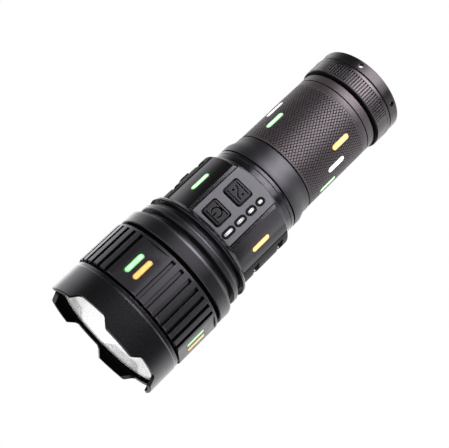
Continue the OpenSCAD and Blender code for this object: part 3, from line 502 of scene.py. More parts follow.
def open_share(tree, reach):
    """One in the open, falling to zero in corners and grooves narrower than the reach; the finishes paint
    shade by it.
    """
    hidden, free = 0.52, 0.87
    share = add_node(tree, "ShaderNodeAmbientOcclusion", {"Distance": reach}, samples=8).outputs["AO"]
    return spread(tree, share, 0.0, 1.0, hidden, free)


def anodised_finish(name, colour, roughness, turned=0.0, relief=0.006 * MM, edge=0.18 * MM, wear_and_highlight=0.2,
                    crevice=0.9 * MM, ior=1.55, tint=None, smooth_from=None):
    """Black anodised aluminium with a blasted grain, turned lines, edges lightened by wear and by painted
    highlights, and painted shade in crevices.

    Where a height is given, the surface is smoother from there on.
    """
    smoother, rougher = roughness - 0.05, roughness + 0.06
    material, tree, shader = start_finish(name)
    lit = open_share(tree, crevice)
    fine = grain(tree, FINE_GRAIN)
    broad = grain(tree, BROAD_GRAIN)
    normal, rubbed_and_highlit = worn_and_highlit_edges(tree, edge)
    rub_and_highlight = combine(tree, "MULTIPLY", rubbed_and_highlit, spread(tree, broad, LEAST_RUB_AND_HIGHLIGHT * wear_and_highlight, wear_and_highlight))
    rub_and_highlight = combine(tree, "MULTIPLY", rub_and_highlight, lit)
    body = mix_colours(tree, broad, shaded(colour, DARK_PATCH), shaded(colour, LIGHT_PATCH))
    tone = mix_colours(tree, rub_and_highlight, body, shaded(RUBBED_METAL_AND_HIGHLIGHT))
    if turned:
        normal = bump(tree, grain(tree, TURNED_GRAIN, 2.0, TURNED_SQUEEZE), turned, normal)
    rough = spread(tree, fine, smoother, rougher)
    if smooth_from is not None:
        polish = spread(tree, object_height(tree), 0.0, PANEL_POLISH, smooth_from, smooth_from + MM)
        rough = combine(tree, "SUBTRACT", rough, polish)
    # Painted shade: colour and gloss fall away in crevices narrower than the crevice reach.
    set_shader(tree, shader, Base_Color=mix_colours(tree, lit, shaded(colour, PAINTED_CREVICE_SHADE), tone),
               Specular_IOR_Level=spread(tree, lit, PAINTED_SHADE_GLOSS, OPEN_GLOSS, 0.0, 1.0),
               Roughness=rough, Normal=bump(tree, fine, relief, normal), IOR=ior,
               Specular_Tint=shaded(tint or bpy.context.scene.flashlight_colours.film_tint))
    return material


def moulded_finish(name, colour, roughness, grain_size=0.3 * MM, relief=0.008 * MM, metallic=0.0, ior=1.47):
    """Moulded, plated or drawn surface with a fine grain and slow changes of tone."""
    least_roughness, rough_change, darker, lighter = 0.02, 0.08, 0.82, 1.12
    material, tree, shader = start_finish(name)
    fine = grain(tree, grain_size)
    broad = grain(tree, MOULDED_PATCH)
    smooth = max(least_roughness, roughness - rough_change)
    tone = mix_colours(tree, broad, shaded(colour, darker), shaded(colour, lighter))
    set_shader(tree, shader, Base_Color=tone, Metallic=metallic, IOR=ior,
               Roughness=spread(tree, fine, smooth, roughness + rough_change),
               Normal=bump(tree, fine, relief))
    return material


def painted_shade_finish(name):
    """Dull black that hardly reflects: painted shade for engraved lines and shaded necks."""
    return moulded_finish(name, PAINTED_SHADE_BLACK, 0.8, ior=1.05)


def luminous_finish(name, middle, edge, glow):
    """Translucent bar with a painted glow, pale in its middle, full of colour round it and with painted shade
    at its outline.
    """
    cloud_size, cloud_relief, scatter = 1.2 * MM, 0.01 * MM, 0.6 * MM
    outline, half_way = 0.06, 0.5
    thin_cloud, thick_cloud, smooth, rough = 0.9, 1.05, 0.22, 0.34
    material, tree, shader = start_finish(name)
    depth = add_node(tree, "ShaderNodeAttribute", attribute_name="middle").outputs["Fac"]
    cloud = grain(tree, cloud_size)
    share = combine(tree, "MULTIPLY", depth, spread(tree, cloud, thin_cloud, thick_cloud), clamp=True)
    # Painted light: the bar glows though it is no lamp, and its outline is painted shade.
    rising = spread(tree, share, 0.0, 1.0, 0.0, half_way)
    full = mix_colours(tree, rising, shaded(edge, outline), shaded(edge))
    tone = mix_colours(tree, spread(tree, share, 0.0, 1.0, half_way, 1.0), full, shaded(middle))
    set_shader(tree, shader, Base_Color=tone, Emission_Color=tone,
               Emission_Strength=spread(tree, rising, 0.0, glow, 0.0, 1.0),
               Roughness=spread(tree, cloud, smooth, rough), Normal=bump(tree, cloud, cloud_relief),
               Subsurface_Weight=0.25, Subsurface_Radius=(scatter, scatter, scatter), Subsurface_Scale=1.0)
    return material


def paint(material, *nodes):
    """Gives solids of the frame their finish."""
    for name in nodes:
        set_materials(SOLIDS[name], material)


def paint_moulded(rows):
    """Gives solids moulded finishes: each row has a name, a colour, a roughness, options and the solids."""
    for name, colour, roughness, options, nodes in rows:
        paint(moulded_finish(name, colour, roughness, **options), *nodes)


# Pieces


class FLASHLIGHT_OT_casings(bpy.types.Operator):
    """Finishes the casing: tail, housing, control panel, side covers and the head's body"""
    bl_idname = "flashlight.casings"
    bl_label = "Anodised casings"

    def execute(self, context):
        colours = context.scene.flashlight_colours
        black, tint = colours.anodised, colours.knurl_tint
        paint(anodised_finish("black_anodised_turned", black, 0.34, turned=TURNED_RELIEF), "head_body")
        paint(anodised_finish("black_anodised_ribbed", black, 0.28, turned=TURNED_RELIEF, crevice=0.4 * MM,
                              ior=1.57, tint=tint), "tail_cap")
        paint(anodised_finish("black_anodised_milled", black, 0.23, smooth_from=PANEL_LOW.z - MM),
              "switch_housing")
        paint(anodised_finish("black_anodised_ring", black, 0.28, turned=TURNED_RELIEF, ior=1.43, tint=tint),
              "lanyard_ring")
        paint(anodised_finish("panel_blasted", colours.panel, 0.50, relief=0.01 * MM, edge=0.12 * MM),
              "control_panel")
        for name, ior, node in (("plain_cover_black", 1.26, "plain_side_cover"),
                                ("side_cover_black", 1.15, "port_side_cover")):
            paint(moulded_finish(name, colours.rubber, 0.60, relief=COARSE_RELIEF, ior=ior), node)
        return {"FINISHED"}


class FLASHLIGHT_OT_knurled_tube(bpy.types.Operator):
    """Builds the battery tube with its diamond knurling, thread and bar slots"""
    bl_idname = "flashlight.knurled_tube"
    bl_label = "Knurled tube"
    SHARP_ANGLE = 24

    def execute(self, context):
        sizes = context.scene.flashlight_tube
        colours = context.scene.flashlight_colours
        knurled = anodised_finish("knurled_anodised", colours.knurling, 0.42, edge=0.1 * MM,
                                  crevice=0.5 * MM, tint=colours.knurl_tint)
        turned = anodised_finish("tube_anodised", colours.anodised, 0.42, turned=COARSE_RELIEF, wear_and_highlight=0.1)
        tube = add_piece("knurled_tube", [self.turned_skin(sizes)], sharp_angle=self.SHARP_ANGLE)
        cut(tube, add_piece("tube_slots", self.slot_skins(sizes.slot_gap)))
        shade(tube.data, self.SHARP_ANGLE)
        set_materials(tube, turned, knurled)
        knurl_root = KNURL_R - 1.5 * sizes.diamond_depth
        for polygon in tube.data.polygons:
            x, y, z = polygon.center
            outside = math.hypot(x, y) > knurl_root
            polygon.material_index = 1 if outside and z < KNURL_HIGH else 0
        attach(tube, "torch")
        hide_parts("battery_tube")
        return {"FINISHED"}

    def slot_skins(self, gap):
        """Cutters for the slots of the tube's luminous bars."""
        slots = []
        for node in ("green_bars", "amber_bars", "white_bars"):
            for place, width, length, depth in bar_places(node):
                if place.translation.z < TUBE_HIGH.z:
                    rings = [bar_ring(width, length, -gap, z) for z in (-depth - gap, depth)]
                    slots.append(moved(loft(rings), place))
        return slots

    def turned_skin(self, sizes):
        """Closed skin of the tube: rows from the rear end round the outside and back by the bore."""
        columns = 2 * sizes.diamonds
        # Radii and heights of the steps, as in the solid
        rear_r, neck_r, bore_r = 16.6 * MM, TUBE_HIGH.x, 13.6 * MM
        groove_r, band_r, front_r = 17.4 * MM, 18.45 * MM, 15.6 * MM
        rear_z, front_z = TUBE_LOW.z, TUBE_HIGH.z
        shoulder_z, line_z = 14.1 * MM, 17.6 * MM
        band_z, taper_z, neck_z, neck_end = 52.3 * MM, 55.3 * MM, 58.5 * MM, 61.75 * MM
        edge, line, seal_low, seal_high, seal_r = 0.15 * MM, 0.25 * MM, 11.3 * MM, 12.5 * MM, 15.6 * MM
        line_r = KNURL_R - 2 * line
        points, faces = [], []

        def put(column, radius, z):
            angle = 2 * math.pi * column / columns
            points.append((radius * math.cos(angle), radius * math.sin(angle), z))
            return len(points) - 1

        def put_rows(rows):
            return [[put(k, *spot) for k, spot in enumerate(row)] for row in rows]

        def plain(*spots):
            return put_rows([[spot] * columns for spot in spots])

        rear = plain((bore_r, rear_z), (rear_r - 2 * edge, rear_z))
        rear += put_rows(self.thread_rows(sizes, columns, rear_r, rear_z + edge, seal_low - edge))
        rear += plain((rear_r, seal_low), (seal_r, seal_low), (seal_r, seal_high), (rear_r, seal_high),
                      (rear_r, shoulder_z), (KNURL_R - edge, shoulder_z), (KNURL_R, shoulder_z + edge),
                      (KNURL_R, line_z - line), (line_r, line_z - line), (line_r, line_z + line),
                      (KNURL_R, line_z + line), (KNURL_R, KNURL_LOW))
        front = plain((KNURL_R, KNURL_HIGH), (groove_r, KNURL_HIGH), (groove_r, band_z),
                      (band_r - edge, band_z), (band_r, band_z + edge), (band_r, taper_z), (neck_r, neck_z),
                      (neck_r, neck_end - edge), (neck_r - edge, neck_end), (front_r, neck_end),
                      (front_r, front_z - edge), (front_r - edge, front_z), (bore_r, front_z))
        for low, high in (*zip(rear, rear[1:]), *zip(front, front[1:]), (front[-1], rear[0])):
            for k in range(columns):
                n = (k + 1) % columns
                faces.append((low[k], low[n], high[n], high[k]))
        faces.extend(self.knurl_faces(rear[-1], front[0], sizes, put))
        return points, faces

    def thread_rows(self, sizes, columns, radius, low, high):
        """Radius and height of each point of the rear thread, which fades out at its two ends."""
        steps, fade_rows, root_width, flank_slope = 8, 3, 1.4, 4.2
        rise = sizes.thread_lead / steps
        count = int((high - low) / rise)
        rows = []
        for i in range(count + 1):
            z = low + i * rise
            depth = sizes.thread_depth * min(1.0, i / fade_rows, (count - i) / fade_rows)
            row = []
            for k in range(columns):
                phase = (z / sizes.thread_lead + k / columns) % 1.0
                dip = min(1.0, max(0.0, root_width - abs(phase - 0.5) * flank_slope))
                row.append((radius - depth * dip, z))
            rows.append(row)
        return rows

    def knurl_faces(self, low_row, high_row, sizes, put):
        """Flat-topped diamonds between two plain rows, with a cut round each."""
        columns = len(low_row)
        count = 2 * int((KNURL_HIGH - KNURL_LOW) / sizes.diamond_length)
        half = (KNURL_HIGH - KNURL_LOW) / count
        flat, root = sizes.diamond_flat, KNURL_R - sizes.diamond_depth
        valley, top = {}, {}
        for k in range(columns):
            valley[0, k], valley[count, k] = low_row[k], high_row[k]
            for j in range(1, count):
                z = KNURL_LOW + j * half
                if (j + k) % 2:
                    valley[j, k] = put(k, root, z)
                else:
                    top[j, k] = (put(k, KNURL_R, z - flat * half), put(k + flat, KNURL_R, z),
                                 put(k, KNURL_R, z + flat * half), put(k - flat, KNURL_R, z))
        faces = []
        for (j, k), crown in top.items():
            faces.append(crown)
            left, right = (k - 1) % columns, (k + 1) % columns
            rim = (valley[j - 1, k], valley[j, right], valley[j + 1, k], valley[j, left])
            for i in range(4):
                n = (i + 1) % 4
                faces.append((rim[i], rim[n], crown[n], crown[i]))
        for k in range(0, columns, 2):
            left, right = (k - 1) % columns, (k + 1) % columns
            first, last = valley[1, k], valley[count - 1, k]
            faces.extend(((low_row[left], low_row[k], first), (low_row[k], low_row[right], first)))
            faces.extend(((high_row[k], high_row[left], last), (high_row[right], high_row[k], last)))
        return faces


class FLASHLIGHT_OT_head_shells(bpy.types.Operator):
    """Builds the fluted sleeve and the crenellated bezel with crisp rear corners"""
    bl_idname = "flashlight.head_shells"
    bl_label = "Head shells"
    SLACK = 0.02 * MM

    def execute(self, context):
        sizes = context.scene.flashlight_head
        black = context.scene.flashlight_colours.anodised
        sleeve = anodised_finish("sleeve_anodised", black, 0.37, wear_and_highlight=0.05, ior=1.74)
        bezel = anodised_finish("bezel_anodised", black, 0.28, wear_and_highlight=0.05, ior=1.56)
        shadow = painted_shade_finish("neck_black")
        low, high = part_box("head_sleeve")
        rear_neck_end, front_neck_start = low.z + sizes.neck_length, high.z - sizes.front_neck
        steep = 0.5
        rows = (("fluted_sleeve", "head_sleeve", self.sleeve_rule(sizes), sleeve),
                ("crenellated_bezel", "bezel_ring", self.bezel_rule(sizes), bezel))
        for name, node, rule, material in rows:
            shell = add_piece(name, [reshaped(node, rule)], sharp_angle=25)
            set_materials(shell, material, shadow)
            # Painted shade: the bare necks, the flute walls and the faces turned toward the axis take the dull
            # black.
            for polygon in shell.data.polygons:
                x, y, z = polygon.center
                bare_neck = z < rear_neck_end or front_neck_start < z < high.z
                outward = polygon.normal.dot(Vector((x, y, 0)).normalized())
                flute_wall = node == "head_sleeve" and abs(outward) < steep and abs(polygon.normal.z) < steep
                polygon.material_index = 1 if bare_neck or flute_wall or outward < -steep else 0
            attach(shell, "torch")
            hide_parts(node)
        return {"FINISHED"}

    def sleeve_rule(self, sizes):
        """Fills the round behind the sleeve up to a corner where the rear face meets the outside."""
        low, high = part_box("head_sleeve")
        head_r, rear_z = high.x, low.z + sizes.neck_length
        end_z = rear_z + sizes.rear_round

        def rule(radius, z):
            if radius < head_r - sizes.rear_round or not rear_z + self.SLACK < z < end_z - self.SLACK:
                return radius, z
            if z < rear_z + sizes.rear_round / 2:
                return head_r - sizes.rear_edge, rear_z
            return head_r, rear_z + sizes.rear_edge

        return rule

    def bezel_rule(self, sizes):
        """Squares the bezel's rear corner and sets the step in front of it."""
        low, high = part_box("bezel_ring")
        bezel_r = high.x
        land_r, rear_z = bezel_r - sizes.bezel_step, low.z
        end_z = rear_z + sizes.rear_round
        step_z, step_end = rear_z + sizes.bezel_land, rear_z + sizes.bezel_land + 2 * sizes.bezel_step
        corner_turn = 60

        def rule(radius, z):
            if z < end_z - self.SLACK and radius > land_r - sizes.rear_round + self.SLACK:
                turn = math.degrees(math.atan2(radius - land_r + sizes.rear_round, end_z - z))
                if turn < corner_turn:
                    share = (corner_turn - turn) / corner_turn
                    return land_r - sizes.rear_edge - share * sizes.rear_round, rear_z
                return land_r, rear_z + sizes.rear_edge
            if end_z + self.SLACK < z < end_z + 2 * sizes.rear_round and radius > land_r - self.SLACK:
                return radius, step_end if radius > bezel_r - self.SLACK else step_z
            return radius, z

        return rule


class FLASHLIGHT_OT_buttons(bpy.types.Operator):
    """Builds the two push buttons with their engraved icons"""
    bl_idname = "flashlight.buttons"
    bl_label = "Buttons"
    SHARP_ANGLE = 40

    def execute(self, context):
        sizes = context.scene.flashlight_controls
        colours = context.scene.flashlight_colours
        # Full rubbing on the buttons paints highlights along their edges and along the engraved lines.
        material = anodised_finish("button_black", colours.button, 0.42, edge=0.25 * MM, wear_and_highlight=1.0,
                                   crevice=0.25 * MM, ior=1.3)
        ink_and_painted_shade = painted_shade_finish("icon_black")
        strip = anodised_finish("button_strip", colours.panel, 0.45, edge=0.12 * MM)
        engraving_top, engraving_floor = -0.05 * sizes.icon_depth, -1.1 * sizes.icon_depth
        rim = 2 * sizes.button_edge
        for node, icon in (("power_button", self.power_icon), ("mode_button", self.mode_icon)):
            low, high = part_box(node)
            skin = self.cap_skin(low, high, sizes)
            button = add_piece(f"{node}_cap", [skin], sharp_angle=self.SHARP_ANGLE)
            face = on_panel(low, high, low.y)
            width, height = (side - 2 * sizes.button_margin for side in (high.x - low.x, high.z - low.z))
            lines = [moved(line, face) for line in icon(sizes) + self.face_grooves(width, height, sizes)]
            cut(button, add_piece(f"{node}_icon", lines))
            shade(button.data, self.SHARP_ANGLE)
            set_materials(button, material, ink_and_painted_shade, strip)
            for polygon in button.data.polygons:
                spot = face.inverted() @ polygon.center
                engraved = (engraving_floor < spot.z < engraving_top
                            and abs(spot.x) < width / 2 - rim and abs(spot.y) < height / 2 - rim)
                outer = abs(spot.y) > height / 2 - sizes.groove_inset and spot.z > engraving_top
                # Painted shade: the engraved icons and grooves take the dull black.
                polygon.material_index = 1 if engraved else 2 if outer else 0
            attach(button, node)
            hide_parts(node)
        return {"FINISHED"}

    def cap_skin(self, low, high, sizes):
        """Cap with a flange under the panel and a raised face with a rounded edge."""
        flange, flange_corner, corner, edge_steps = 0.5 * MM, 0.2 * MM, 0.85 * MM, 3
        width, height = high.x - low.x, high.z - low.z
        body_w, body_h = width - 2 * sizes.button_margin, height - 2 * sizes.button_margin
        proud, depth = PANEL_LOW.y - low.y, high.y - PANEL_LOW.y
        rings = [rounded_ring(width, height, flange_corner, -depth),
                 rounded_ring(width, height, flange_corner, flange - depth),
                 rounded_ring(body_w, body_h, corner, flange - depth)]
        for k in range(edge_steps + 1):
            angle = math.radians(90 * k / edge_steps)
            draw = sizes.button_edge * (1 - math.cos(angle))
            rings.append(rounded_ring(body_w - 2 * draw, body_h - 2 * draw, corner - draw / 2,
                                      proud - sizes.button_edge * (1 - math.sin(angle))))
        return moved(loft(rings), on_panel(low, high, PANEL_LOW.y))

    def face_grooves(self, width, height, sizes):
        """Two straight grooves across a face, near its front and its rear edge."""
        reach = width / 2 - 2 * sizes.button_edge
        places = [side * (height / 2 - sizes.groove_inset) for side in (-1, 1)]
        return [stroke([(-reach, y), (reach, y)], sizes.groove_width, -sizes.icon_depth, sizes.icon_depth)
                for y in places]

    def power_icon(self, sizes):
        """Open ring with a bar in its gap, its top toward the head."""
        r, width, deep = sizes.icon_radius, sizes.icon_stroke, sizes.icon_depth
        gap, step, bar_top, bar_foot = 40, 10, 1.05, 0.1
        turns = [math.radians(angle) for angle in range(gap, 360 - gap + 1, step)]
        arc = [(r * math.sin(turn), r * math.cos(turn)) for turn in turns]
        bar = [(0, bar_top * r), (0, bar_foot * r)]
        return [stroke(arc, width, -deep, deep), stroke(bar, width, -deep, deep)]

    def mode_icon(self, sizes):
        """Double curve with a dot in each of its hollows."""
        r, width, deep = sizes.icon_radius, sizes.icon_stroke, sizes.icon_depth
        half_steps, reach, swing, quarter = 12, 1.4, 0.65, math.pi / 2
        dot_r, dot_x, dot_y, dot_corners = 0.27, 0.92, 0.34, 24
        curve = []
        for k in range(2 * half_steps + 1):
            share = -1 + k / half_steps
            curve.append((reach * r * share, -swing * r * math.sin(quarter * math.sin(quarter * share))))
        icon = [stroke(curve, width, -deep, deep)]
        for side in (-1, 1):
            dot_skin = loft([circle_ring(dot_r * r, z, dot_corners) for z in (-deep, deep)])
            icon.append(moved(dot_skin, Matrix.Translation((side * dot_x * r, side * dot_y * r, 0))))
        return icon


class FLASHLIGHT_OT_gauge(bpy.types.Operator):
    """Builds the rims and numerals of the charge gauge and finishes its windows"""
    bl_idname = "flashlight.gauge"
    bl_label = "Charge gauge"
    SUNK = 0.02 * MM

    def execute(self, context):
        sizes = context.scene.flashlight_controls
        paint(moulded_finish("window_grey", (0.28, 0.28, 0.29), 0.40, 0.8 * MM), "charge_windows")
        boxes = sorted(solid_boxes("charge_windows"), key=lambda box: -box[1].z)
        places = [on_panel(low, high, low.y) for low, high in boxes]
        rims = [moved(self.rim_skin(high.x - low.x, high.z - low.z, sizes), place)
                for (low, high), place in zip(boxes, places)]
        black = moulded_finish("rim_black", (0.003, 0.003, 0.003), 0.70, ior=1.2)
        rim = add_piece("window_rims", rims, black)
        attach(rim, "torch")
        ink_and_painted_shade = moulded_finish("numeral_white", (0.76, 0.76, 0.76), 0.5, 0.2 * MM)
        for number, place in zip(("100", "75", "50", "25"), places):
            piece = self.numeral(number, place, sizes, ink_and_painted_shade)
            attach(piece, "torch")
        return {"FINISHED"}

    def rim_skin(self, width, length, sizes):
        """Raised rim round one window, with a rounded crest."""
        out, inside, tall = sizes.rim_outside, sizes.rim_inside, sizes.rim_height
        crest, inner_height = 0.6, 0.5
        section = [(-out, -self.SUNK), (-out, crest * tall), (-crest * out, tall), (crest * inside, tall),
                   (inside, inner_height * tall), (inside, -self.SUNK)]
        return loft([bar_ring(width, length, inset, z) for inset, z in section], ends=False)

    def numeral(self, number, place, sizes, ink_and_painted_shade):
        """Flat numeral on a window, reading along the axis from the head to the tail."""
        digit_share, thickness, boldness = 0.7, 0.02 * MM, 0.04 * MM
        text = bpy.data.curves.new("numeral", "FONT")
        text.body = number
        text.size = sizes.numeral_height / digit_share
        text.align_x, text.align_y = "CENTER", "CENTER"
        text.extrude = thickness
        text.offset = boldness
        text.resolution_u = 6
        writer = link_object("numeral", text)
        bpy.context.view_layer.update()
        mesh = bpy.data.meshes.new_from_object(writer.evaluated_get(bpy.context.evaluated_depsgraph_get()))
        bpy.data.objects.remove(writer)
        turn = Matrix.Rotation(math.radians(-90), 4, "Z")
        mesh.transform(place @ Matrix.Translation((0, 0, thickness)) @ turn)
        piece = link_object(f"numeral_{number}", mesh)
        set_materials(piece, ink_and_painted_shade)
        return piece


class FLASHLIGHT_OT_luminous_bars(bpy.types.Operator):
    """Builds the crowned luminous bars of the tube, the housing and the head"""
    bl_idname = "flashlight.luminous_bars"
    bl_label = "Luminous bars"
    # Inset and height in millimetres and painted-glow paleness of each ring from the foot, whose height is its
    # bar's own
    PROFILE = ((0, None, 0.0), (0, -0.10, 0.0), (0.05, -0.02, 0.0), (0.14, 0.02, 0.12), (0.29, 0.05, 0.5),
               (0.5, 0.075, 0.85), (0.9, 0.09, 1.0), (1.25, 0.095, 1.0))
    # Painted glow of each colour, and paleness of its bars on the head
    GLOWS = {"green": (0.55, 0.84), "amber": (0.60, 0.77), "white": (0.55, 1.0)}

    def execute(self, context):
        colours = context.scene.flashlight_colours
        for name, (glow, head_share) in self.GLOWS.items():
            node = f"{name}_bars"
            solids, values = [], []
            for place, width, length, depth in bar_places(node):
                rings = []
                paleness = head_share if place.translation.z > PANEL_HIGH.z else 1.0
                for inset, height, value in self.PROFILE:
                    z = -depth if height is None else height * MM
                    ring = bar_ring(width, length, inset * MM, z)
                    rings.append(ring)
                    values.extend([value * paleness] * len(ring))
                solids.append(moved(loft(rings), place))
            middle, edge = getattr(colours, f"{name}_middle"), getattr(colours, f"{name}_edge")
            material = luminous_finish(f"glow_{name}", middle, edge, glow)
            bars = add_piece(f"{name}_inlays", solids, material, values, sharp_angle=50)
            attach(bars, "torch")
            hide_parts(node)
        return {"FINISHED"}


class FLASHLIGHT_OT_side_fittings(bpy.types.Operator):
    """Builds the side screws with their sockets and finishes the port and its cover"""
    bl_idname = "flashlight.side_fittings"
    bl_label = "Side fittings"

    def execute(self, context):
        steel = moulded_finish("bright_steel", (0.80, 0.80, 0.82), 0.42, 0.4 * MM, 0.004 * MM, metallic=0.45)
        rubber = moulded_finish("rubber_black", context.scene.flashlight_colours.rubber, 0.62, 0.25 * MM,
                                COARSE_RELIEF, ior=1.15)
        screws = []
        for low, high in solid_boxes("side_screws"):
            side = 1 if low.x > 0 else -1
            root, reach = sorted((abs(low.x), abs(high.x)))
            place = on_face(-90 * side, reach, (low.z + high.z) / 2)
            screws.append(moved(self.screw_skin((high.z - low.z) / 2, reach - root), place))
        piece = add_piece("socket_screws", screws, steel)
        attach(piece, "torch")
        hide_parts("side_screws")
        paint(rubber, "port_cover", "keypad_seal")
        paint(steel, "charge_port")
        return {"FINISHED"}

    def screw_skin(self, head_r, length):
        """Screw with a rounded head and a six-sided socket, its face at height zero."""
        shank_r, head, edge = 0.6 * MM, 0.95 * MM, 0.18 * MM
        socket_r, socket_deep, socket_bevel, drill_point = 0.5 * head_r, 0.5 * MM, 0.05 * MM, 0.1 * MM
        bevel_r, point_r, round_off = 1.1 * socket_r, 0.2 * socket_r, 0.3 * edge
        return loft([circle_ring(shank_r, -length), circle_ring(shank_r, -head), circle_ring(head_r, -head),
                     circle_ring(head_r, -edge), circle_ring(head_r - round_off, -round_off),
                     circle_ring(head_r - edge, 0), circle_ring(bevel_r, 0),
                     circle_ring(socket_r, -socket_bevel, flats=6),
                     circle_ring(socket_r, -socket_deep, flats=6),
                     circle_ring(point_r, -socket_deep - drill_point, flats=6)])


class FLASHLIGHT_OT_optics(bpy.types.Operator):
    """Finishes the lens, the reflector, the emitter and the seals"""
    bl_idname = "flashlight.optics"
    bl_label = "Optics and seals"
    # Silver, the painted shade round the emitter and the strength of the painted glow at the rim.
    SILVER, BOWL_GREY, RIM_GLOW = (0.94, 0.94, 0.94), (0.25, 0.25, 0.26), 0.43
    FINISHES = (
        ("seal_black", (0.02, 0.02, 0.02), 0.6, {}, ("front_seal", "rear_seal")),
        ("seal_white", (0.88, 0.88, 0.87), 0.5, {}, ("lens_seal",)),
        ("emitter_yellow", (0.85, 0.66, 0.10), 0.3, {"grain_size": 0.2 * MM}, ("led_emitter",)),
        ("gasket_white", (0.82, 0.82, 0.80), 0.45, {}, ("emitter_gasket",)),
        ("board_copper", (0.72, 0.36, 0.20), 0.3, {"metallic": 1.0}, ("led_board", "driver_ring")),
        ("lead_red", (0.55, 0.03, 0.03), 0.4, {}, ("led_leads",)),
    )

    def execute(self, context):
        smear_size, smear = 9 * MM, 0.015
        glass, tree, shader = start_finish("lens_glass")
        set_shader(tree, shader, Base_Color=WHITE, Transmission_Weight=1.0, IOR=1.5,
                   Roughness=spread(tree, grain(tree, smear_size), 0.0, smear))
        paint(glass, "lens")
        paint(self.reflector_finish(), "reflector")
        paint_moulded(self.FINISHES)
        return {"FINISHED"}

    def reflector_finish(self):
        """Bright silver with painted shade round the emitter and a painted glow toward the rim."""
        silver = moulded_finish("reflector_silver", self.SILVER, 0.30, 0.6 * MM, 0.001 * MM, metallic=0.75)
        low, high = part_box("reflector")
        tree = silver.node_tree
        toward_rim = spread(tree, object_height(tree), 0.0, 1.0, low.z, (low.z + high.z) / 2)
        set_shader(tree, tree.nodes["Principled BSDF"], Emission_Color=WHITE,
                   Base_Color=mix_colours(tree, toward_rim, shaded(self.BOWL_GREY), shaded(self.SILVER)),
                   Emission_Strength=spread(tree, toward_rim, 0.0, self.RIM_GLOW, 0.0, 1.0))
        return silver


class FLASHLIGHT_OT_power_train(bpy.types.Operator):
    """Winds the contact springs and finishes the cell, the boards and the snap ring"""
    bl_idname = "flashlight.power_train"
    bl_label = "Cell, boards and springs"
    FINISHES = (
        ("board_green", (0.02, 0.16, 0.06), 0.35, {"grain_size": 0.9 * MM},
         ("tail_board", "switch_board", "driver_board")),
        ("chip_black", (0.02, 0.02, 0.02), 0.5, {}, ("driver_components",)),
        ("switch_steel", (0.75, 0.75, 0.77), 0.3, {"metallic": 1.0}, ("tact_switches", "snap_ring")),
        ("led_white", (0.85, 0.85, 0.80), 0.35, {}, ("indicator_leds", "cell_insulator")),
        ("cell_nickel", (0.72, 0.71, 0.68), 0.25, {"metallic": 1.0}, ("cell_can", "cell_cap")),
        ("cell_wrap_blue", (0.02, 0.09, 0.35), 0.3, {"grain_size": MM}, ("cell_wrap",)),
    )

    def execute(self, context):
        gold = moulded_finish("spring_gold", (0.83, 0.58, 0.22), 0.25, 0.5 * MM, 0.002 * MM, metallic=1.0)
        for node, body, start_r, end_r in (("tail_spring", "tail_cap", 5.5 * MM, 3.5 * MM),
                                           ("driver_spring", "torch", 3.0 * MM, 4.2 * MM)):
            spring = add_piece(f"{node}_wire", [self.wire_skin(node, start_r, end_r)], gold)
            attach(spring, body)
            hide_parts(node)
        paint_moulded(self.FINISHES)
        return {"FINISHED"}

    def wire_skin(self, node, start_r, end_r):
        """Conical spring of round wire in the space of its solid."""
        low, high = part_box(node)
        wire_r, turns, steps, sides = 0.45 * MM, 4, 36, 12
        z0, z1 = low.z + wire_r, high.z - wire_r
        section = [2 * math.pi * k / sides for k in range(sides)]
        rings = []
        for i in range(turns * steps + 1):
            share = i / (turns * steps)
            angle = 2 * math.pi * i / steps
            out = Vector((math.cos(angle), math.sin(angle), 0))
            middle = out * (start_r + (end_r - start_r) * share) + UP * (z0 + (z1 - z0) * share)
            rings.append([tuple(middle + wire_r * (math.cos(turn) * out + math.sin(turn) * UP))
                          for turn in section])
        return flipped(loft(rings))


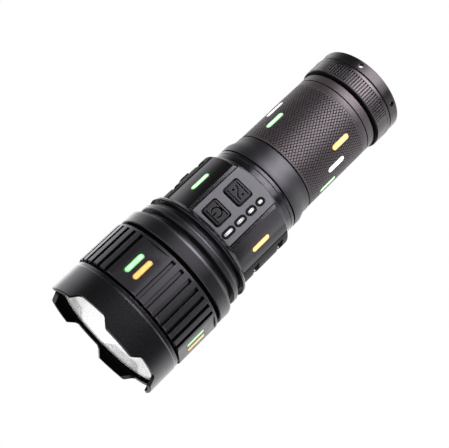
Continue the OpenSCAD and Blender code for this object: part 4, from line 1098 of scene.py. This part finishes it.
class FLASHLIGHT_OT_studio(bpy.types.Operator):
    """Sets up the pale floor, the soft light and the camera"""
    bl_idname = "flashlight.studio"
    bl_label = "Studio"
    # Each soft box: its place toward the camera, to the picture's left and above the tail's end, the height
    # of its aim on the axis, its width and height, all in metres, its setting, and its share of that
    SOFTBOXES = (
        ("key_softbox", (0.29, -0.005, -0.135), 0.06, (0.45, 0.19), "key_light", 0.5),
        ("key_core", (0.28, 0.0, -0.135), 0.06, (0.20, 0.17), "key_light", 0.7),
        ("fill_softbox", (0.06, -0.34, -0.18), 0.06, (0.26, 0.30), "fill_light", 1.0),
        ("top_softbox", (0.35, 0.0, 0.50), 0.13, (0.45, 0.45), "top_light", 1.0),
        ("back_softbox", (-0.45, 0.25, 0.10), 0.08, (0.25, 0.45), "back_light", 1.0),
    )

    def execute(self, context):
        scene = context.scene
        settings = scene.flashlight_studio
        toward = Vector((-math.sin(settings.camera_turn), -math.cos(settings.camera_turn), 0))
        back = math.cos(settings.camera_tilt) * toward + math.sin(settings.camera_tilt) * UP
        side = UP.cross(toward)
        self.add_camera(scene, settings, back)
        self.add_floor()
        self.add_surround(scene, settings, back, side)
        for name, (near, left, height), aim_height, size, setting, share in self.SOFTBOXES:
            place = near * toward + left * side + height * UP
            self.add_softbox(name, place, aim_height * UP, size, share * getattr(settings, setting))
        scene.view_settings.view_transform = "Standard"
        return {"FINISHED"}

    def add_camera(self, scene, settings, back):
        """Camera in the photograph's direction, rolled so that the head is at the lower left."""
        along = (UP - UP.dot(back) * back).normalized()
        across = back.cross(along)
        sin_roll, cos_roll = math.sin(settings.camera_roll), math.cos(settings.camera_roll)
        right = -cos_roll * along + sin_roll * across
        up = -sin_roll * along - cos_roll * across
        data = bpy.data.cameras.new("photo_camera")
        data.sensor_width = 36.0
        data.lens = settings.lens
        data.clip_start = 0.01
        data.clip_end = 50.0
        camera = link_object("photo_camera", data)
        camera.matrix_world = Matrix((right, up, back)).transposed().to_4x4()
        aim = settings.aim_height * UP + settings.aim_side * across
        camera.location = aim + settings.camera_distance * back
        scene.camera = camera

    def add_floor(self):
        """Pale floor that sweeps up into a wall all round, seen by the camera only."""
        middle_r, flat, wall, bend, bend_steps, corners = 0.02, 2.0, 6.0, 1.0, 8, 72
        profile = [(middle_r, 0.0), (flat, 0.0)]
        for k in range(1, bend_steps + 1):
            angle = math.radians(90 * k / bend_steps)
            profile.append((flat + bend * math.sin(angle), bend * (1 - math.cos(angle))))
        profile.append((flat + bend, wall))
        points, faces = loft([circle_ring(radius, z, corners) for radius, z in profile])
        open_faces = faces[:-2]
        material, tree, shader = start_finish("pale_floor")
        set_shader(tree, shader, Base_Color=(0.0, 0.0, 0.0, 1.0), Roughness=1.0, Specular_IOR_Level=0.0,
                   Emission_Color=WHITE, Emission_Strength=1.0)
        floor = add_piece("studio_floor", [(points, open_faces)], material)
        cap = circle_ring(middle_r, 0.0, corners)
        disc = add_piece("studio_floor_middle", [(cap, [tuple(range(corners))])], material)
        for piece in (floor, disc):
            piece.visible_diffuse = piece.visible_glossy = piece.visible_transmission = False
            piece.visible_shadow = piece.visible_volume_scatter = False

    def add_surround(self, scene, settings, back, side):
        """Bright wall behind the flashlight, bright sky over the camera and a dim room round the camera."""
        world = bpy.data.worlds.new("studio_surround")
        world.use_nodes = True
        scene.world = world
        tree = world.node_tree
        direction = add_node(tree, "ShaderNodeTexCoord").outputs["Generated"]
        height = add_node(tree, "ShaderNodeSeparateXYZ", {0: direction}).outputs["Z"]
        away = dot(tree, direction, -back)
        across = dot(tree, direction, side)
        side_from, side_to = 0.1, 0.4
        left = spread(tree, across, 0.0, 1.0, side_from, side_to)
        right = spread(tree, across, 0.0, 1.0, -side_from, -side_to)
        # The wall comes less far round low down, least on the left, and also higher up on the right.
        # Each change has its amount and the heights of the direction between which it comes in.
        wider, wider_from, wider_to = 0.12, -0.33, -0.26
        low_left, low_from, low_to = 0.25, -0.27, -0.34
        high_right, high_from, high_to = 0.16, -0.25, -0.18
        dark_end, bright_end = -0.02, 0.58
        wall_top, wall_full, sky_foot, sky_full = 0.3, 0.0, 0.12, 0.45
        sky_edge, sky_front = 0.1, -0.4
        reach = combine(tree, "ADD", away, spread(tree, height, 0.0, wider, wider_from, wider_to))
        for half, amount, start, end in ((left, low_left, low_from, low_to),
                                         (right, high_right, high_from, high_to)):
            drop = combine(tree, "MULTIPLY", half, spread(tree, height, 0.0, amount, start, end))
            reach = combine(tree, "SUBTRACT", reach, drop)
        wall = spread(tree, reach, settings.dark_side, settings.surround, dark_end, bright_end, "SMOOTHSTEP")
        wall = combine(tree, "MULTIPLY", wall, spread(tree, height, 0.0, 1.0, wall_top, wall_full))
        sky = spread(tree, height, 0.0, settings.surround, sky_foot, sky_full, "SMOOTHSTEP")
        sky = combine(tree, "MULTIPLY", sky, spread(tree, away, 0.0, 1.0, sky_edge, sky_front))
        light = tree.nodes["Background"]
        fill_socket(tree, light.inputs["Strength"], combine(tree, "MAXIMUM", wall, sky))
        fill_socket(tree, light.inputs["Color"], WHITE)

    def add_softbox(self, name, place, aim, size, brightness):
        """Soft box that faces its aim and isn't seen by the camera."""
        width, height = size
        data = bpy.data.lights.new(name, "AREA")
        data.shape = "RECTANGLE"
        data.size, data.size_y = width, height
        data.energy = brightness * math.pi * width * height
        light = link_object(name, data)
        light.rotation_euler = (aim - place).to_track_quat("-Z", "Y").to_euler()
        light.location = place
        light.visible_camera = False


class FLASHLIGHT_PT_tools(bpy.types.Panel):
    """Lists the steps that dress the flashlight, and their settings"""
    bl_idname = "FLASHLIGHT_PT_tools"
    bl_label = "Flashlight"
    bl_space_type = "VIEW_3D"
    bl_region_type = "UI"
    bl_category = "Flashlight"

    def draw(self, context):
        for operator in STEPS:
            self.layout.operator(operator.bl_idname)
        for name, group in SETTINGS.items():
            box = self.layout.box()
            for key in group.__annotations__:
                box.prop(getattr(context.scene, name), key)


STEPS = (FLASHLIGHT_OT_casings, FLASHLIGHT_OT_knurled_tube, FLASHLIGHT_OT_head_shells, FLASHLIGHT_OT_buttons,
         FLASHLIGHT_OT_gauge, FLASHLIGHT_OT_luminous_bars, FLASHLIGHT_OT_side_fittings, FLASHLIGHT_OT_optics,
         FLASHLIGHT_OT_power_train, FLASHLIGHT_OT_studio)
SETTINGS = {
    "flashlight_tube": TubeSizes,
    "flashlight_head": HeadSizes,
    "flashlight_controls": ControlSizes,
    "flashlight_colours": FinishColours,
    "flashlight_studio": StudioSettings,
}


def register():
    """Registers the settings, the operators and the panel."""
    for cls in (*SETTINGS.values(), *STEPS, FLASHLIGHT_PT_tools):
        bpy.utils.register_class(cls)
    for name, group in SETTINGS.items():
        setattr(bpy.types.Scene, name, PointerProperty(type=group))


def unregister():
    """Takes the settings, the operators and the panel out again."""
    for name in SETTINGS:
        delattr(bpy.types.Scene, name)
    for cls in (FLASHLIGHT_PT_tools, *reversed(STEPS), *reversed(SETTINGS.values())):
        bpy.utils.unregister_class(cls)


def main():
    """Dresses the flashlight step by step."""
    register()
    bpy.ops.flashlight.casings()
    bpy.ops.flashlight.knurled_tube()
    bpy.ops.flashlight.head_shells()
    bpy.ops.flashlight.buttons()
    bpy.ops.flashlight.gauge()
    bpy.ops.flashlight.luminous_bars()
    bpy.ops.flashlight.side_fittings()
    bpy.ops.flashlight.optics()
    bpy.ops.flashlight.power_train()
    bpy.ops.flashlight.studio()


if __name__ == "__main__":
    main()
